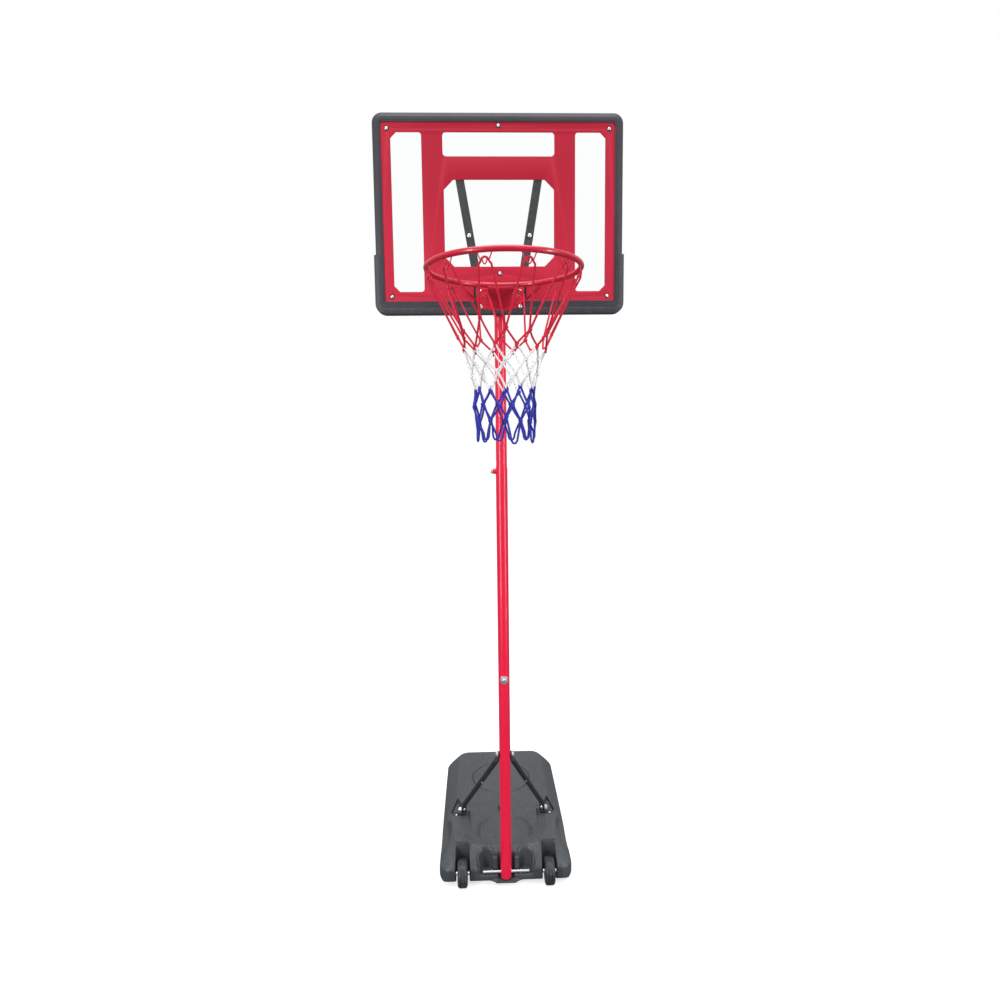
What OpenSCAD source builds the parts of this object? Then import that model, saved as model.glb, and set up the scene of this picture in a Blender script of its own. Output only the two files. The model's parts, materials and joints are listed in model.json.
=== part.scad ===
// Portable basketball hoop: a fillable base on two wheels, a red telescoping pole,
// a framed backboard and a rim with a net.
// The origin is the centre of the base's underside, on the floor. +X is to the right as
// the player sees the hoop, +Y points away from the player and +Z is up.

/* [Base] */
// Overall width of the base
base_w = 490; // [440:5:540]
// Overall length of the base
base_l = 776; // [740:4:820]
// Height of the base's flat top
base_h = 130; // [124:1:136]
// Height of the lower edge of the upright skirt
skirt_low = 24; // [20:1:28]
// Height of the upper edge of the upright skirt
skirt_high = 64; // [60:1:68]
// Wall of the moulded base
base_wall = 4; // [3:0.5:5]

/* [Wheels] */
// Diameter of each wheel
wheel_d = 96; // [92:2:96]
// Width of each wheel
wheel_w = 35; // [30:1:38]
// Distance of each wheel's middle from the centre line
wheel_x = 159; // [156:1:162]

/* [Pole] */
// Outer diameter of the lower and middle tubes
tube_d = 40; // [39.5:0.5:41]
// Outer diameter of the sliding upper tube
upper_d = 37; // [36:0.5:37]
// Wall of every pole tube
tube_wall = 1.2; // [1:0.1:1.5]
// Height of the joint between the lower and the middle tube
lower_top = 751; // [700:1:780]
// Height of the middle tube's mouth
middle_top = 1534; // [1520:1:1540]
// Height of the hole that the height lock points at
lock_z = 1520; // [1515:1:1524]

/* [Backboard] */
// Width of the moulded frame
frame_w = 792; // [760:4:840]
// Height of the frame's lower edge
frame_low = 2040; // [2036:1:2042]
// Height of the frame's upper edge
frame_high = 2651; // [2640:1:2700]
// Corner radius of the frame
frame_r = 31; // [24:1:36]
// Distance from the pole's axis to the front of the printed sheet
sheet_front = 53; // [52:1:56]

/* [Rim] */
// Radius of the ring, to the middle of its rod
ring_r = 215.7; // [205:0.1:225]
// Thickness of the ring's rod
ring_d = 16; // [14:1:16]
// Height of the ring
ring_z = 2110; // [2108:1:2112]
// Distance from the pole's axis to the middle of the ring
ring_reach = 340; // [338:1:352]

/* [Net] */
// Length of the net below the ring's hooks
net_l = 450; // [400:10:480]
// Number of hooks on the ring
hook_count = 12; // [8:1:12]

/* [Hidden] */
$fn = 64;

// Facets of the small cylinders inside a hull
hull_fn = 32;
// A length that runs right through whatever it cuts
through = 4000;
// Gap between a bolt's shank and its hole, on the radius
bolt_gap = 0.1;
// Gap between an axle and what turns on it, on the radius
run_gap = 0.05;

// Base
half_w = base_w / 2;
half_l = base_l / 2;
top_half_w = half_w - 58;
top_front = -half_l + 57;
top_back = half_l - 20;
foot_inset = 35;
slot_w = 50;
slot_back = -half_l + 67;
axle_r = 4;
wheel_z = wheel_d / 2 + 2;
wheel_y = -half_l + 9;
tyre_bed_r = 30;
cup_x = 72;
cup_r = 26;
cup_y = -half_l + 15;
cup_floor = 44;
channel_half = 30;
lip_top = 27;
cap_y = -half_l + 283;
cap_r = 16;
sand_h = 46;

// Pole
pole_y = -half_l + 7;
tube_r = tube_d / 2;
upper_r = upper_d / 2;
foot_z = 28;
foot_h = 14;
rod_r = 5;
rod_z = 54;
rod_half = 85;
sleeve_half = 100;
joint_bolt_z = lower_top + 37;
upper_low = lock_z - 110;
upper_high = 2165;
height_step = 100;
lock_r = 4;

// Struts
strut_d = 19;
strut_tab = 4;
strut_top_z = 505;
strut_foot_x = 163.8;
strut_foot_y = pole_y + 282;
strut_foot_z = 126;
pocket_floor = 100;

// Backboard, as distances in front of the pole's axis
trim_front = sheet_front + 3;
sheet_back = sheet_front - 1;
panel_back = sheet_back - 3;
lip_back = panel_back - 3;
brace_back = panel_back - 4;
flange_back = brace_back - 3;
trim_back = 30;
frame_half = frame_w / 2;
frame_mid = (frame_high + frame_low) / 2;
frame_h = frame_high - frame_low;
bumper_out = 6;
bumper_top = 2220;
brace_slope = 9.5;
brace_w = 27;
brace_low_x = 66.3;
brace_low_z = 2104;
rim_bolt_x = 64;
rim_bolt_zs = [2057, 2104];
corner_points = [[-351, 2603], [0, 2612], [351, 2603], [-347, 2090], [347, 2090]];
centre_point = [0, 2162];
brace_bolt_x = 97;
brace_bolt_z = 2279;

// Rim
plate_half = 73;
plate_low = 2046;
plate_high = 2116;
ring_y = pole_y - ring_reach;
ring_low = ring_z - ring_d / 2;
hook_r = 7;
hook_wire = 1.75;
hook_stub = 6;
hook_z = ring_low - hook_stub - hook_r;

function length_of(v) = sqrt(v[0] * v[0] + v[1] * v[1] + v[2] * v[2]);

// A round bar from point a to point b
module bar(a, b, r) {
    d = b - a;
    l = length_of(d);
    translate(a)
        rotate([0, acos(d[2] / l), atan2(d[1], d[0])])
            cylinder(h = l, r = r);
}

// A round bar along X, from x0 to x1
module x_bar(x0, x1, y, z, r) {
    translate([x0, y, z]) rotate([0, 90, 0]) cylinder(h = x1 - x0, r = r);
}

// A round bar along Y; front and back are distances in front of the pole's axis
module y_bar(front, back, x, z, r) {
    translate([x, pole_y - back, z]) rotate([90, 0, 0]) cylinder(h = front - back, r = r);
}

// A hexagonal head or nut along X
module x_hex(x0, x1, y, z, r) {
    translate([x0, y, z]) rotate([0, 90, 0]) cylinder(h = x1 - x0, r = r, $fn = 6);
}

// A hexagonal head or nut along Y, placed as y_bar
module y_hex(front, back, x, z, r) {
    translate([x, pole_y - back, z]) rotate([90, 0, 0]) cylinder(h = front - back, r = r, $fn = 6);
}

// A flat rectangle with round corners, centred, in the XY plane
module round_rect(w, h, r) {
    square([w - 2 * r, h], center = true);
    square([w, h - 2 * r], center = true);
    for (sx = [-1, 1], sy = [-1, 1])
        translate([sx * (w / 2 - r), sy * (h / 2 - r)]) circle(r = r);
}

// Stands a flat outline up in the XZ plane; front and back as in y_bar
module upright(front, back) {
    translate([0, pole_y - back, 0]) rotate([90, 0, 0]) linear_extrude(height = front - back) children();
}

// An upright rounded panel between x = -half and half
module panel_block(front, back, half, low, high, r) {
    upright(front, back) translate([0, (low + high) / 2]) round_rect(2 * half, high - low, r);
}

// A slab with round corners, used as one level of a hull
module level(x_half, y0, y1, z0, z1, r) {
    for (sx = [-1, 1], y = [y0 + r, y1 - r])
        translate([sx * (x_half - r), y, z0]) cylinder(h = z1 - z0, r = r, $fn = hull_fn);
}

// The base's outer form: a raised underside edge, an upright skirt and sloping shoulders
module tank_form(inset, front) {
    bottom = inset == 0 ? 0 : inset;
    hull() {
        level(half_w - foot_inset - inset, max(-half_l + foot_inset + inset, front), half_l - foot_inset - inset,
            bottom, bottom + 1, 40);
        level(half_w - inset, max(-half_l + inset, front), half_l - inset,
            skirt_low + inset / 2, skirt_high - inset / 2, 45);
        level(top_half_w - inset, max(top_front, front), top_back - inset,
            base_h - inset - 1, base_h - inset, 14);
    }
}

// The space that one strut bracket stands in, grown by a margin
module strut_pocket(side, margin) {
    translate([side > 0 ? 150 - margin : -216, strut_foot_y - 20 - margin, pocket_floor - margin])
        cube([66 + margin, 40 + 2 * margin, 60]);
}

module base_tank() {
    mid_half = wheel_x - slot_w / 2 - 8;
    color("#54585c")
    difference() {
        union() {
            tank_form(0, -half_l);
            translate([0, 0, lip_top - 7])
                linear_extrude(height = 7)
                    polygon([[-52, -half_l + 2], [-34, -half_l - 12], [34, -half_l - 12], [52, -half_l + 2],
                        [52, -half_l + 20], [-52, -half_l + 20]]);
        }
        // hollow inside, kept clear of the strut pockets
        difference() {
            union() {
                tank_form(base_wall, slot_back + 6);
                translate([-mid_half, -half_l + 49, 20])
                    cube([2 * mid_half, 40, 84]);
            }
            for (side = [-1, 1]) strut_pocket(side, base_wall);
        }
        for (side = [-1, 1]) {
            translate([side * wheel_x - slot_w / 2, -half_l - 20, -1])
                cube([slot_w, slot_back + half_l + 20, base_h + 10]);
            translate([side * cup_x, cup_y, cup_floor]) cylinder(h = base_h, r = cup_r);
            strut_pocket(side, 0);
        }
        // channel that the pole's foot stands in
        translate([-channel_half, -half_l - 20, lip_top])
            cube([2 * channel_half, 51, base_h]);
        x_bar(-rod_half - 1, rod_half + 1, pole_y, rod_z, rod_r + bolt_gap);
        for (side = [-1, 1]) {
            x_bar(side > 0 ? cup_x : -214, side > 0 ? 214 : -cup_x, wheel_y, wheel_z, axle_r + bolt_gap);
            translate([side * 190, strut_foot_y, pocket_floor - 30]) cylinder(h = 40, r = 2.5 + bolt_gap);
        }
        translate([0, cap_y, base_h - 20]) cylinder(h = 40, r = cap_r + 0.08);
        // pressed ring on the flat top
        translate([0, pole_y + 517, base_h - 2])
            difference() {
                cylinder(h = 4, r = 126);
                translate([0, 0, -1]) cylinder(h = 6, r = 122);
            }
    }
}

module ballast_sand() {
    color("#c2a878")
    translate([-190, slot_back + 40, base_wall + 0.3])
        cube([380, half_l - 60 - slot_back - 40, sand_h]);
}

module foot_rod() {
    color("#c8ccd0")
    x_bar(-rod_half, rod_half, pole_y, rod_z, rod_r);
}

module rod_clips() {
    color("#9a9ea4")
    for (side = [-1, 1])
        difference() {
            x_bar(side * 52 - 1, side * 52 + 1, pole_y, rod_z, 9);
            x_bar(-through, through, pole_y, rod_z, rod_r);
        }
}

module wheel_axle(side) {
    color("#c8ccd0")
    x_bar(side > 0 ? 99 : -213.5, side > 0 ? 213.5 : -99, wheel_y, wheel_z, axle_r);
}

module wheel_axle_left() wheel_axle(-1);
module wheel_axle_right() wheel_axle(1);

module wheel_spacers() {
    gap = (slot_w - wheel_w) / 2;
    color("#c8ccd0")
    for (side = [-1, 1], end = [-1, 1])
        difference() {
            x_bar(side * wheel_x + end * (wheel_w / 2 + gap / 2 + 0.15) - (gap - 0.5) / 2,
                side * wheel_x + end * (wheel_w / 2 + gap / 2 + 0.15) + (gap - 0.5) / 2,
                wheel_y, wheel_z, 7);
            x_bar(-through, through, wheel_y, wheel_z, axle_r);
        }
}

// Spins a half profile, drawn as [radius, offset], about a wheel's axle
module wheel_spin(side) {
    translate([side * wheel_x, wheel_y, wheel_z]) rotate([0, 90, 0]) rotate_extrude() children();
}

module tyre(side) {
    r = wheel_d / 2;
    w = wheel_w / 2;
    crown = 9;
    color("#3a3d40")
    wheel_spin(side)
        difference() {
            union() {
                translate([tyre_bed_r, -w]) square([r - crown - tyre_bed_r, 2 * w]);
                translate([tyre_bed_r, -w + crown]) square([r - tyre_bed_r, 2 * (w - crown)]);
                for (end = [-1, 1]) translate([r - crown, end * (w - crown)]) circle(r = crown);
            }
            for (y = [-6, 6]) translate([r - 2, y - 1]) square([3, 2]);
        }
}

module tyre_left() tyre(-1);
module tyre_right() tyre(1);

module hub(side) {
    w = wheel_w / 2;
    color("#8f9498")
    wheel_spin(side)
        difference() {
            translate([axle_r + run_gap, -w]) square([tyre_bed_r - axle_r - run_gap, 2 * w]);
            for (end = [-1, 1]) translate([13, end > 0 ? w - 9 : -w - 1]) square([13, 10]);
        }
}

module hub_left() hub(-1);
module hub_right() hub(1);

// One flattened end of a strut: a tab with a round tip and the bend up to the tube.
// It is drawn from its bolt hole at the origin, towards -Z.
module strut_end(tube_start, tube_axis) {
    neck = 24;
    translate([-strut_tab / 2, 0, 0]) rotate([90, 0, 90])
        linear_extrude(height = strut_tab) {
            circle(r = 12);
            translate([-12, -neck]) square([24, neck]);
        }
    hull() {
        translate([-strut_tab / 2, -12, -neck - 0.2]) cube([strut_tab, 24, 0.2]);
        bar(tube_start, tube_start + tube_axis * 3, strut_d / 2 - 0.4, $fn = hull_fn);
    }
}

// A tube strut; its bolts run along X. It is drawn hanging from its upper bolt hole and
// then leaned back about that hole.
module strut(side) {
    top_x = tube_r + 0.2 + strut_tab / 2;
    run_y = strut_foot_y - pole_y;
    run_z = strut_top_z - strut_foot_z;
    lean = atan2(run_y, run_z);
    long = sqrt(run_y * run_y + run_z * run_z);
    side_step = strut_foot_x - top_x;
    tube_a = [9, 0, -52];
    tube_b = [side_step - 9, 0, 52 - long];
    axis = (tube_b - tube_a) / length_of(tube_b - tube_a);
    color("#1e2a28")
    mirror([side < 0 ? 1 : 0, 0, 0])
    difference() {
        translate([top_x, pole_y, strut_top_z]) rotate([lean, 0, 0]) {
            bar(tube_a, tube_b, strut_d / 2);
            strut_end(tube_a, axis);
            translate([side_step, 0, -long]) rotate([0, 180, 0]) strut_end(tube_a, axis);
        }
        x_bar(0, 400, pole_y, strut_top_z, 4 + bolt_gap);
        x_bar(0, 400, strut_foot_y, strut_foot_z, 4 + bolt_gap);
    }
}

module strut_left() strut(-1);
module strut_right() strut(1);

module strut_bracket(side) {
    color("#d0d3d6")
    mirror([side < 0 ? 1 : 0, 0, 0])
    difference() {
        union() {
            translate([166, strut_foot_y - 14, pocket_floor]) cube([34, 28, 3]);
            translate([166, strut_foot_y - 14, pocket_floor]) cube([3, 28, 26]);
            x_bar(166, 169, strut_foot_y, strut_foot_z, 14);
        }
        x_bar(-through, through, strut_foot_y, strut_foot_z, 4 + bolt_gap);
        translate([190, strut_foot_y, 0]) cylinder(h = through, r = 2.5 + bolt_gap);
    }
}

module strut_bracket_left() strut_bracket(-1);
module strut_bracket_right() strut_bracket(1);

module strut_bracket_bolts() {
    color("#d0d3d6")
    for (side = [-1, 1])
        mirror([side < 0 ? 1 : 0, 0, 0]) {
            x_hex(169, 174.5, strut_foot_y, strut_foot_z, 7.5);
            x_bar(153, 169, strut_foot_y, strut_foot_z, 4);
        }
}

module strut_bracket_nuts() {
    color("#d0d3d6")
    for (side = [-1, 1])
        mirror([side < 0 ? 1 : 0, 0, 0])
        difference() {
            x_hex(155.2, 161.8, strut_foot_y, strut_foot_z, 7.5);
            x_bar(-through, through, strut_foot_y, strut_foot_z, 4);
        }
}

module bracket_screws() {
    color("#b8bcc0")
    for (side = [-1, 1])
        translate([side * 190, strut_foot_y, pocket_floor + 3]) {
            cylinder(h = 3, r = 5);
            translate([0, 0, -22]) cylinder(h = 22, r = 2.5);
        }
}

module strut_top_bolt() {
    out = tube_r + 0.2 + strut_tab;
    color("#d0d3d6")
    union() {
        x_bar(-out, out + 9, pole_y, strut_top_z, 4);
        x_bar(-out - 2, -out, pole_y, strut_top_z, 10);
        x_hex(-out - 8, -out - 2, pole_y, strut_top_z, 7.5);
    }
}

module strut_top_nut() {
    out = tube_r + 0.2 + strut_tab;
    color("#d0d3d6")
    difference() {
        union() {
            x_bar(out, out + 2, pole_y, strut_top_z, 10);
            x_hex(out + 2, out + 8, pole_y, strut_top_z, 7.5);
        }
        x_bar(-through, through, pole_y, strut_top_z, 4);
    }
}

// A pole tube between two heights
module pole_tube(r, low, high) {
    translate([0, pole_y, low])
        difference() {
            cylinder(h = high - low, r = r);
            translate([0, 0, -1]) cylinder(h = high - low + 2, r = r - tube_wall);
        }
}

module pole_foot_cap() {
    edge = 12;
    color("#c2184a")
    translate([0, pole_y, foot_z])
        rotate_extrude() {
            square([tube_r - edge, foot_h]);
            translate([0, edge]) square([tube_r, foot_h - edge]);
            intersection() {
                translate([tube_r - edge, edge]) circle(r = edge);
                square([tube_r, foot_h]);
            }
        }
}

module pole_lower() {
    color("#d81b52")
    difference() {
        pole_tube(tube_r, foot_z + foot_h, lower_top);
        x_bar(-through, through, pole_y, rod_z, rod_r + bolt_gap);
        x_bar(-through, through, pole_y, strut_top_z, 4 + bolt_gap);
    }
}

module joint_sleeve() {
    color("#a01540")
    difference() {
        pole_tube(tube_r - tube_wall, lower_top - sleeve_half, lower_top + sleeve_half);
        y_bar(50, -50, 0, joint_bolt_z, 4 + bolt_gap);
    }
}

module pole_middle() {
    color("#d81b52")
    difference() {
        pole_tube(tube_r, lower_top, middle_top);
        y_bar(50, -50, 0, joint_bolt_z, 4 + bolt_gap);
        x_bar(-through, 0, pole_y, lock_z, lock_r + bolt_gap);
    }
}

module joint_washer() {
    color("#cfd2d5")
    difference() {
        union() {
            y_bar(tube_r + 3, tube_r - 6, 0, joint_bolt_z, 15);
            y_bar(-tube_r + 6, -tube_r - 3, 0, joint_bolt_z, 11);
        }
        translate([0, pole_y, joint_bolt_z - 50]) cylinder(h = 100, r = tube_r);
        y_bar(50, -50, 0, joint_bolt_z, 4);
    }
}

module joint_bolt() {
    color("#cfd2d5")
    union() {
        y_bar(tube_r + 8, tube_r + 3, 0, joint_bolt_z, 8);
        y_bar(tube_r + 3, -tube_r - 11, 0, joint_bolt_z, 4);
    }
}

module joint_nut() {
    color("#cfd2d5")
    difference() {
        y_hex(-tube_r - 3, -tube_r - 9, 0, joint_bolt_z, 7.5);
        y_bar(50, -50, 0, joint_bolt_z, 4);
    }
}

module lock_boss() {
    color("#c2184a")
    difference() {
        x_bar(-tube_r - 10, -tube_r + 4, pole_y, lock_z, 9);
        translate([0, pole_y, lock_z - 50]) cylinder(h = 100, r = tube_r);
        x_bar(-through, 0, pole_y, lock_z, lock_r + run_gap);
    }
}

module lock_bolt() {
    color("#d0d3d6")
    union() {
        x_bar(-tube_r - 10.3, -upper_r - 0.3, pole_y, lock_z, lock_r);
        x_hex(-tube_r - 17, -tube_r - 10.3, pole_y, lock_z, 7.5);
    }
}

module fill_cap() {
    color("#26282b")
    translate([0, cap_y, base_h])
        difference() {
            union() {
                translate([0, 0, -9]) cylinder(h = 11, r = cap_r);
                translate([0, 0, 2]) cylinder(h = 7, r = 18);
            }
            translate([0, 0, 6]) cylinder(h = 4, r = 13);
            translate([0, 0, -10]) cylinder(h = 10, r = 13);
        }
}

module cap_seal() {
    color("#101112")
    translate([0, cap_y, base_h + 0.3])
        difference() {
            cylinder(h = 1.7, r = 18);
            translate([0, 0, -1]) cylinder(h = 4, r = cap_r);
        }
}

module pole_upper() {
    color("#cc1a4c")
    difference() {
        pole_tube(upper_r, upper_low, upper_high);
        for (i = [0 : 5])
            x_bar(-through, 0, pole_y, lock_z + i * height_step, lock_r + 0.5);
        for (z = [2075, 2140])
            x_bar(-through, through, pole_y, z, 4 + bolt_gap);
    }
}

module pole_top_cap() {
    color("#1b1c1e")
    translate([0, pole_y, upper_high]) {
        cylinder(h = 5, r = upper_r);
        translate([0, 0, -14]) cylinder(h = 14, r = upper_r - tube_wall);
    }
}

// Folded plate behind the board with a cheek on each side of the upper tube
module board_bracket() {
    cheek_x = upper_r + 0.2;
    color("#24272a")
    difference() {
        union() {
            translate([-86, pole_y - brace_back, 2047]) cube([172, brace_back - flange_back, 133]);
            for (side = [-1, 1])
                translate([side > 0 ? cheek_x : -cheek_x - 3, pole_y - flange_back - 1, 2047])
                    cube([3, flange_back + 15, 108]);
        }
        for (z = [2075, 2140])
            x_bar(-through, through, pole_y, z, 4 + bolt_gap);
        for (x = [-rim_bolt_x, rim_bolt_x], z = rim_bolt_zs)
            y_bar(80, 20, x, z, 4 + bolt_gap);
        y_bar(80, 20, centre_point[0], centre_point[1], 3 + bolt_gap);
    }
}

module bracket_bolts() {
    out = upper_r + 3.2;
    color("#b8bcc0")
    for (z = [2075, 2140]) {
        x_bar(-out, out + 8, pole_y, z, 4);
        x_hex(-out - 5.5, -out, pole_y, z, 7.5);
    }
}

module bracket_nuts() {
    out = upper_r + 3.2;
    color("#b8bcc0")
    for (z = [2075, 2140])
        difference() {
            x_hex(out, out + 6.5, pole_y, z, 7.5);
            x_bar(-through, through, pole_y, z, 4);
        }
}

// A leaning flat bar behind the clear panel
module v_brace(side) {
    low = 2047;
    high = 2470;
    color("#1e2a28")
    mirror([side < 0 ? 1 : 0, 0, 0])
    difference() {
        upright(panel_back, brace_back)
            intersection() {
                translate([brace_low_x, brace_low_z]) rotate(-brace_slope)
                    translate([-brace_w / 2, -100]) square([brace_w, 520]);
                translate([0, low]) square([200, high - low]);
            }
        for (z = rim_bolt_zs) y_bar(80, 20, rim_bolt_x, z, 4 + bolt_gap);
        y_bar(80, 20, brace_bolt_x, brace_bolt_z, 3 + bolt_gap);
    }
}

module v_brace_left() v_brace(-1);
module v_brace_right() v_brace(1);

module v_brace_bolts() {
    color("#d8dadc")
    for (x = [-brace_bolt_x, brace_bolt_x]) {
        y_bar(sheet_back + 4, sheet_back, x, brace_bolt_z, 6.5);
        y_bar(sheet_back, brace_back - 8, x, brace_bolt_z, 3);
    }
}

module v_brace_nuts() {
    color("#d8dadc")
    for (x = [-brace_bolt_x, brace_bolt_x])
        difference() {
            y_hex(brace_back, brace_back - 5, x, brace_bolt_z, 5.8);
            y_bar(80, 20, x, brace_bolt_z, 3);
        }
}

// Every bolt hole through the sheet and the panel
module board_holes() {
    for (p = corner_points) y_bar(80, 20, p[0], p[1], 3 + bolt_gap);
    y_bar(80, 20, centre_point[0], centre_point[1], 3 + bolt_gap);
    for (x = [-rim_bolt_x, rim_bolt_x], z = rim_bolt_zs) y_bar(80, 20, x, z, 4 + bolt_gap);
    for (x = [-brace_bolt_x, brace_bolt_x]) y_bar(80, 20, x, brace_bolt_z, 3 + bolt_gap);
}

module clear_panel() {
    color([0.85, 0.9, 0.92, 0.4])
    difference() {
        panel_block(sheet_back, panel_back, frame_half - 11, frame_low + 6.5, frame_high - 11, 20);
        board_holes();
    }
}

// One of the two tall side windows: its outer corners are cut off at an angle
module side_window() {
    cut = 19;
    difference() {
        union() {
            translate([243, 2105]) square([97, 487]);
        }
        for (p = [[340, 2592], [340, 2105]])
            translate(p) rotate(45) square([cut * sqrt(2), cut * sqrt(2)], center = true);
    }
}

// The large window behind the rim, with all four corners cut off at an angle
module centre_window() {
    cut = 30;
    difference() {
        translate([-175, 2183]) square([350, 266]);
        for (x = [-175, 175], z = [2183, 2449])
            translate([x, z]) rotate(45) square([cut * sqrt(2), cut * sqrt(2)], center = true);
    }
}

module printed_sheet() {
    color("#c81e44")
    difference() {
        panel_block(sheet_front, sheet_back, frame_half - 12, frame_low + 7.5, frame_high - 12, 20);
        upright(80, 20) side_window();
        upright(80, 20) mirror([1, 0]) side_window();
        upright(80, 20) centre_window();
        upright(80, 20) translate([0, 2556]) round_rect(353, 72, 11);
        upright(80, 20) for (side = [-1, 1]) translate([side * 81, 2101]) square([8, 40], center = true);
        board_holes();
    }
}

// Moulded frame with a groove for the panel and a wide lip behind it
module trim_frame() {
    color("#151617")
    difference() {
        panel_block(trim_front, trim_back, frame_half, frame_low, frame_high, frame_r);
        panel_block(trim_front + 1, sheet_front, 370, 2075, 2622, 6);
        panel_block(sheet_front, panel_back, frame_half - 10.8, frame_low + 6.2, frame_high - 10.8, 20.2);
        panel_block(panel_back + 0.1, lip_back - 0.1, 340, 2104, 2594, 12);
        panel_block(lip_back, trim_back - 1, frame_half - 8, frame_low + 6.2, frame_high - 8, 23);
        // notches for the rim plate in front and its braces behind
        translate([-plate_half - 1, pole_y - trim_front - 1, plate_low - 1]) cube([2 * plate_half + 2, 4, 50]);
        translate([-92, pole_y - panel_back, frame_low + 6.2]) cube([184, 30, 70]);
        board_holes();
    }
}

// Softer guard that wraps the lower corners and the lower edge
module corner_bumper() {
    color("#1c1d1f")
    difference() {
        intersection() {
            panel_block(trim_front + 2, trim_back - 2, frame_half + bumper_out, frame_low - bumper_out,
                frame_high, frame_r + 4);
            translate([-through / 2, pole_y - 100, 0]) cube([through, 200, bumper_top]);
        }
        panel_block(trim_front, trim_back, frame_half, frame_low, frame_high, frame_r);
        panel_block(trim_front + 3, trim_front - 1, 366, 2072, frame_high, 8);
        panel_block(trim_back + 1, trim_back - 3, 366, 2072, frame_high, 8);
        // notches for the rim plate and its braces in front and for the bracket behind
        translate([-plate_half - 6, pole_y - trim_front - 3, plate_low - 1]) cube([2 * plate_half + 12, 4, 50]);
        translate([-92, pole_y - panel_back, frame_low + 6.2]) cube([184, 30, 70]);
    }
}

module board_bolts() {
    color("#d8dadc")
    union() {
        for (p = corner_points) {
            y_bar(sheet_front + 4, sheet_front, p[0], p[1], 6.5);
            y_bar(sheet_front, lip_back - 9, p[0], p[1], 3);
        }
        y_bar(sheet_front + 4, sheet_front, centre_point[0], centre_point[1], 6.5);
        y_bar(sheet_front, flange_back - 9, centre_point[0], centre_point[1], 3);
    }
}

module board_nuts() {
    color("#b8bcc0")
    for (p = concat(corner_points, [centre_point])) {
        face = p == centre_point ? flange_back : lip_back;
        difference() {
            y_hex(face, face - 5, p[0], p[1], 5.8);
            y_bar(80, 20, p[0], p[1], 3);
        }
    }
}

module centre_spacer() {
    color("#1b1c1e")
    difference() {
        y_bar(panel_back, brace_back, centre_point[0], centre_point[1], 9);
        y_bar(80, 20, centre_point[0], centre_point[1], 3 + bolt_gap);
    }
}

// Back plate with a wedge-shaped pressing that carries the ring
module rim_bracket() {
    reach = ring_reach - ring_r + 8;
    color("#c42048")
    difference() {
        union() {
            upright(trim_front, sheet_front)
                polygon([[-36, plate_low], [36, plate_low], [plate_half, plate_low + 18], [plate_half, plate_high],
                    [-plate_half, plate_high], [-plate_half, plate_low + 18]]);
            hull() {
                translate([-42, pole_y - reach, ring_low - 3]) cube([84, reach - trim_front + 1, 3]);
                translate([-16, pole_y - trim_front - 5, plate_low + 4]) cube([32, 6, 3]);
            }
        }
        hull() {
            translate([-39, pole_y - reach - 1, ring_low - 5]) cube([78, 1, 0.1]);
            translate([-39, pole_y - trim_front - 2, ring_low - 3.1]) cube([78, 1, 0.1]);
            translate([-39, pole_y - reach + 3, ring_low - 3.1]) cube([78, 1, 0.1]);
            translate([-14, pole_y - trim_front - 3, plate_low + 7]) cube([28, 1, 0.1]);
        }
        for (x = [-rim_bolt_x, rim_bolt_x], z = rim_bolt_zs) y_bar(80, 20, x, z, 4 + bolt_gap);
    }
}

module rim_ring() {
    color("#c42048")
    translate([0, ring_y, ring_z]) rotate_extrude($fn = 128) translate([ring_r, 0]) circle(r = ring_d / 2);
}

// Thin rod from the plate's edge out to the underside of the ring
module rim_brace(side) {
    ring_x = 120;
    tip_y = ring_y + sqrt(ring_r * ring_r - ring_x * ring_x);
    color("#c42048")
    difference() {
        bar([side * 68, pole_y - trim_front + 6, 2066], [side * ring_x, tip_y, ring_low - 4.1], 4);
        translate([-200, pole_y - trim_front, 2000]) cube([400, 20, 200]);
    }
}

module rim_brace_left() rim_brace(-1);
module rim_brace_right() rim_brace(1);

module rim_bolts() {
    color("#d8dadc")
    for (x = [-rim_bolt_x, rim_bolt_x], z = rim_bolt_zs) {
        y_bar(trim_front + 4.5, trim_front, x, z, 6.5);
        y_bar(trim_front, flange_back - 9, x, z, 4);
    }
}

module rim_nuts() {
    color("#b8bcc0")
    for (x = [-rim_bolt_x, rim_bolt_x], z = rim_bolt_zs)
        difference() {
            y_hex(flange_back, flange_back - 6.5, x, z, 7.5);
            y_bar(80, 20, x, z, 4);
        }
}

module net_hooks() {
    color("#c42048")
    for (i = [0 : hook_count - 1])
        translate([0, ring_y, 0]) rotate([0, 0, (i + 0.5) * 360 / hook_count]) translate([ring_r, 0, 0]) {
            translate([0, 0, hook_z + hook_r]) cylinder(h = hook_stub, r = hook_wire);
            translate([0, 0, hook_z]) rotate([0, 90, 0])
                rotate_extrude() translate([hook_r, 0]) circle(r = hook_wire);
        }
}

// The net's outer shape: a narrowing sleeve, open above and below
module net() {
    top = hook_z - hook_r - hook_wire - 0.3;
    low = ring_low - 22 - net_l;
    outer = [[207, top], [134, 1930], [117, 1900], [86, 1780], [86, low]];
    inner = [[82, low], [82, 1780], [113, 1900], [130, 1930], [203, top]];
    color("#e8e8ec")
    translate([0, ring_y, 0]) rotate_extrude($fn = 48) polygon(concat(outer, inner));
}

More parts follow.
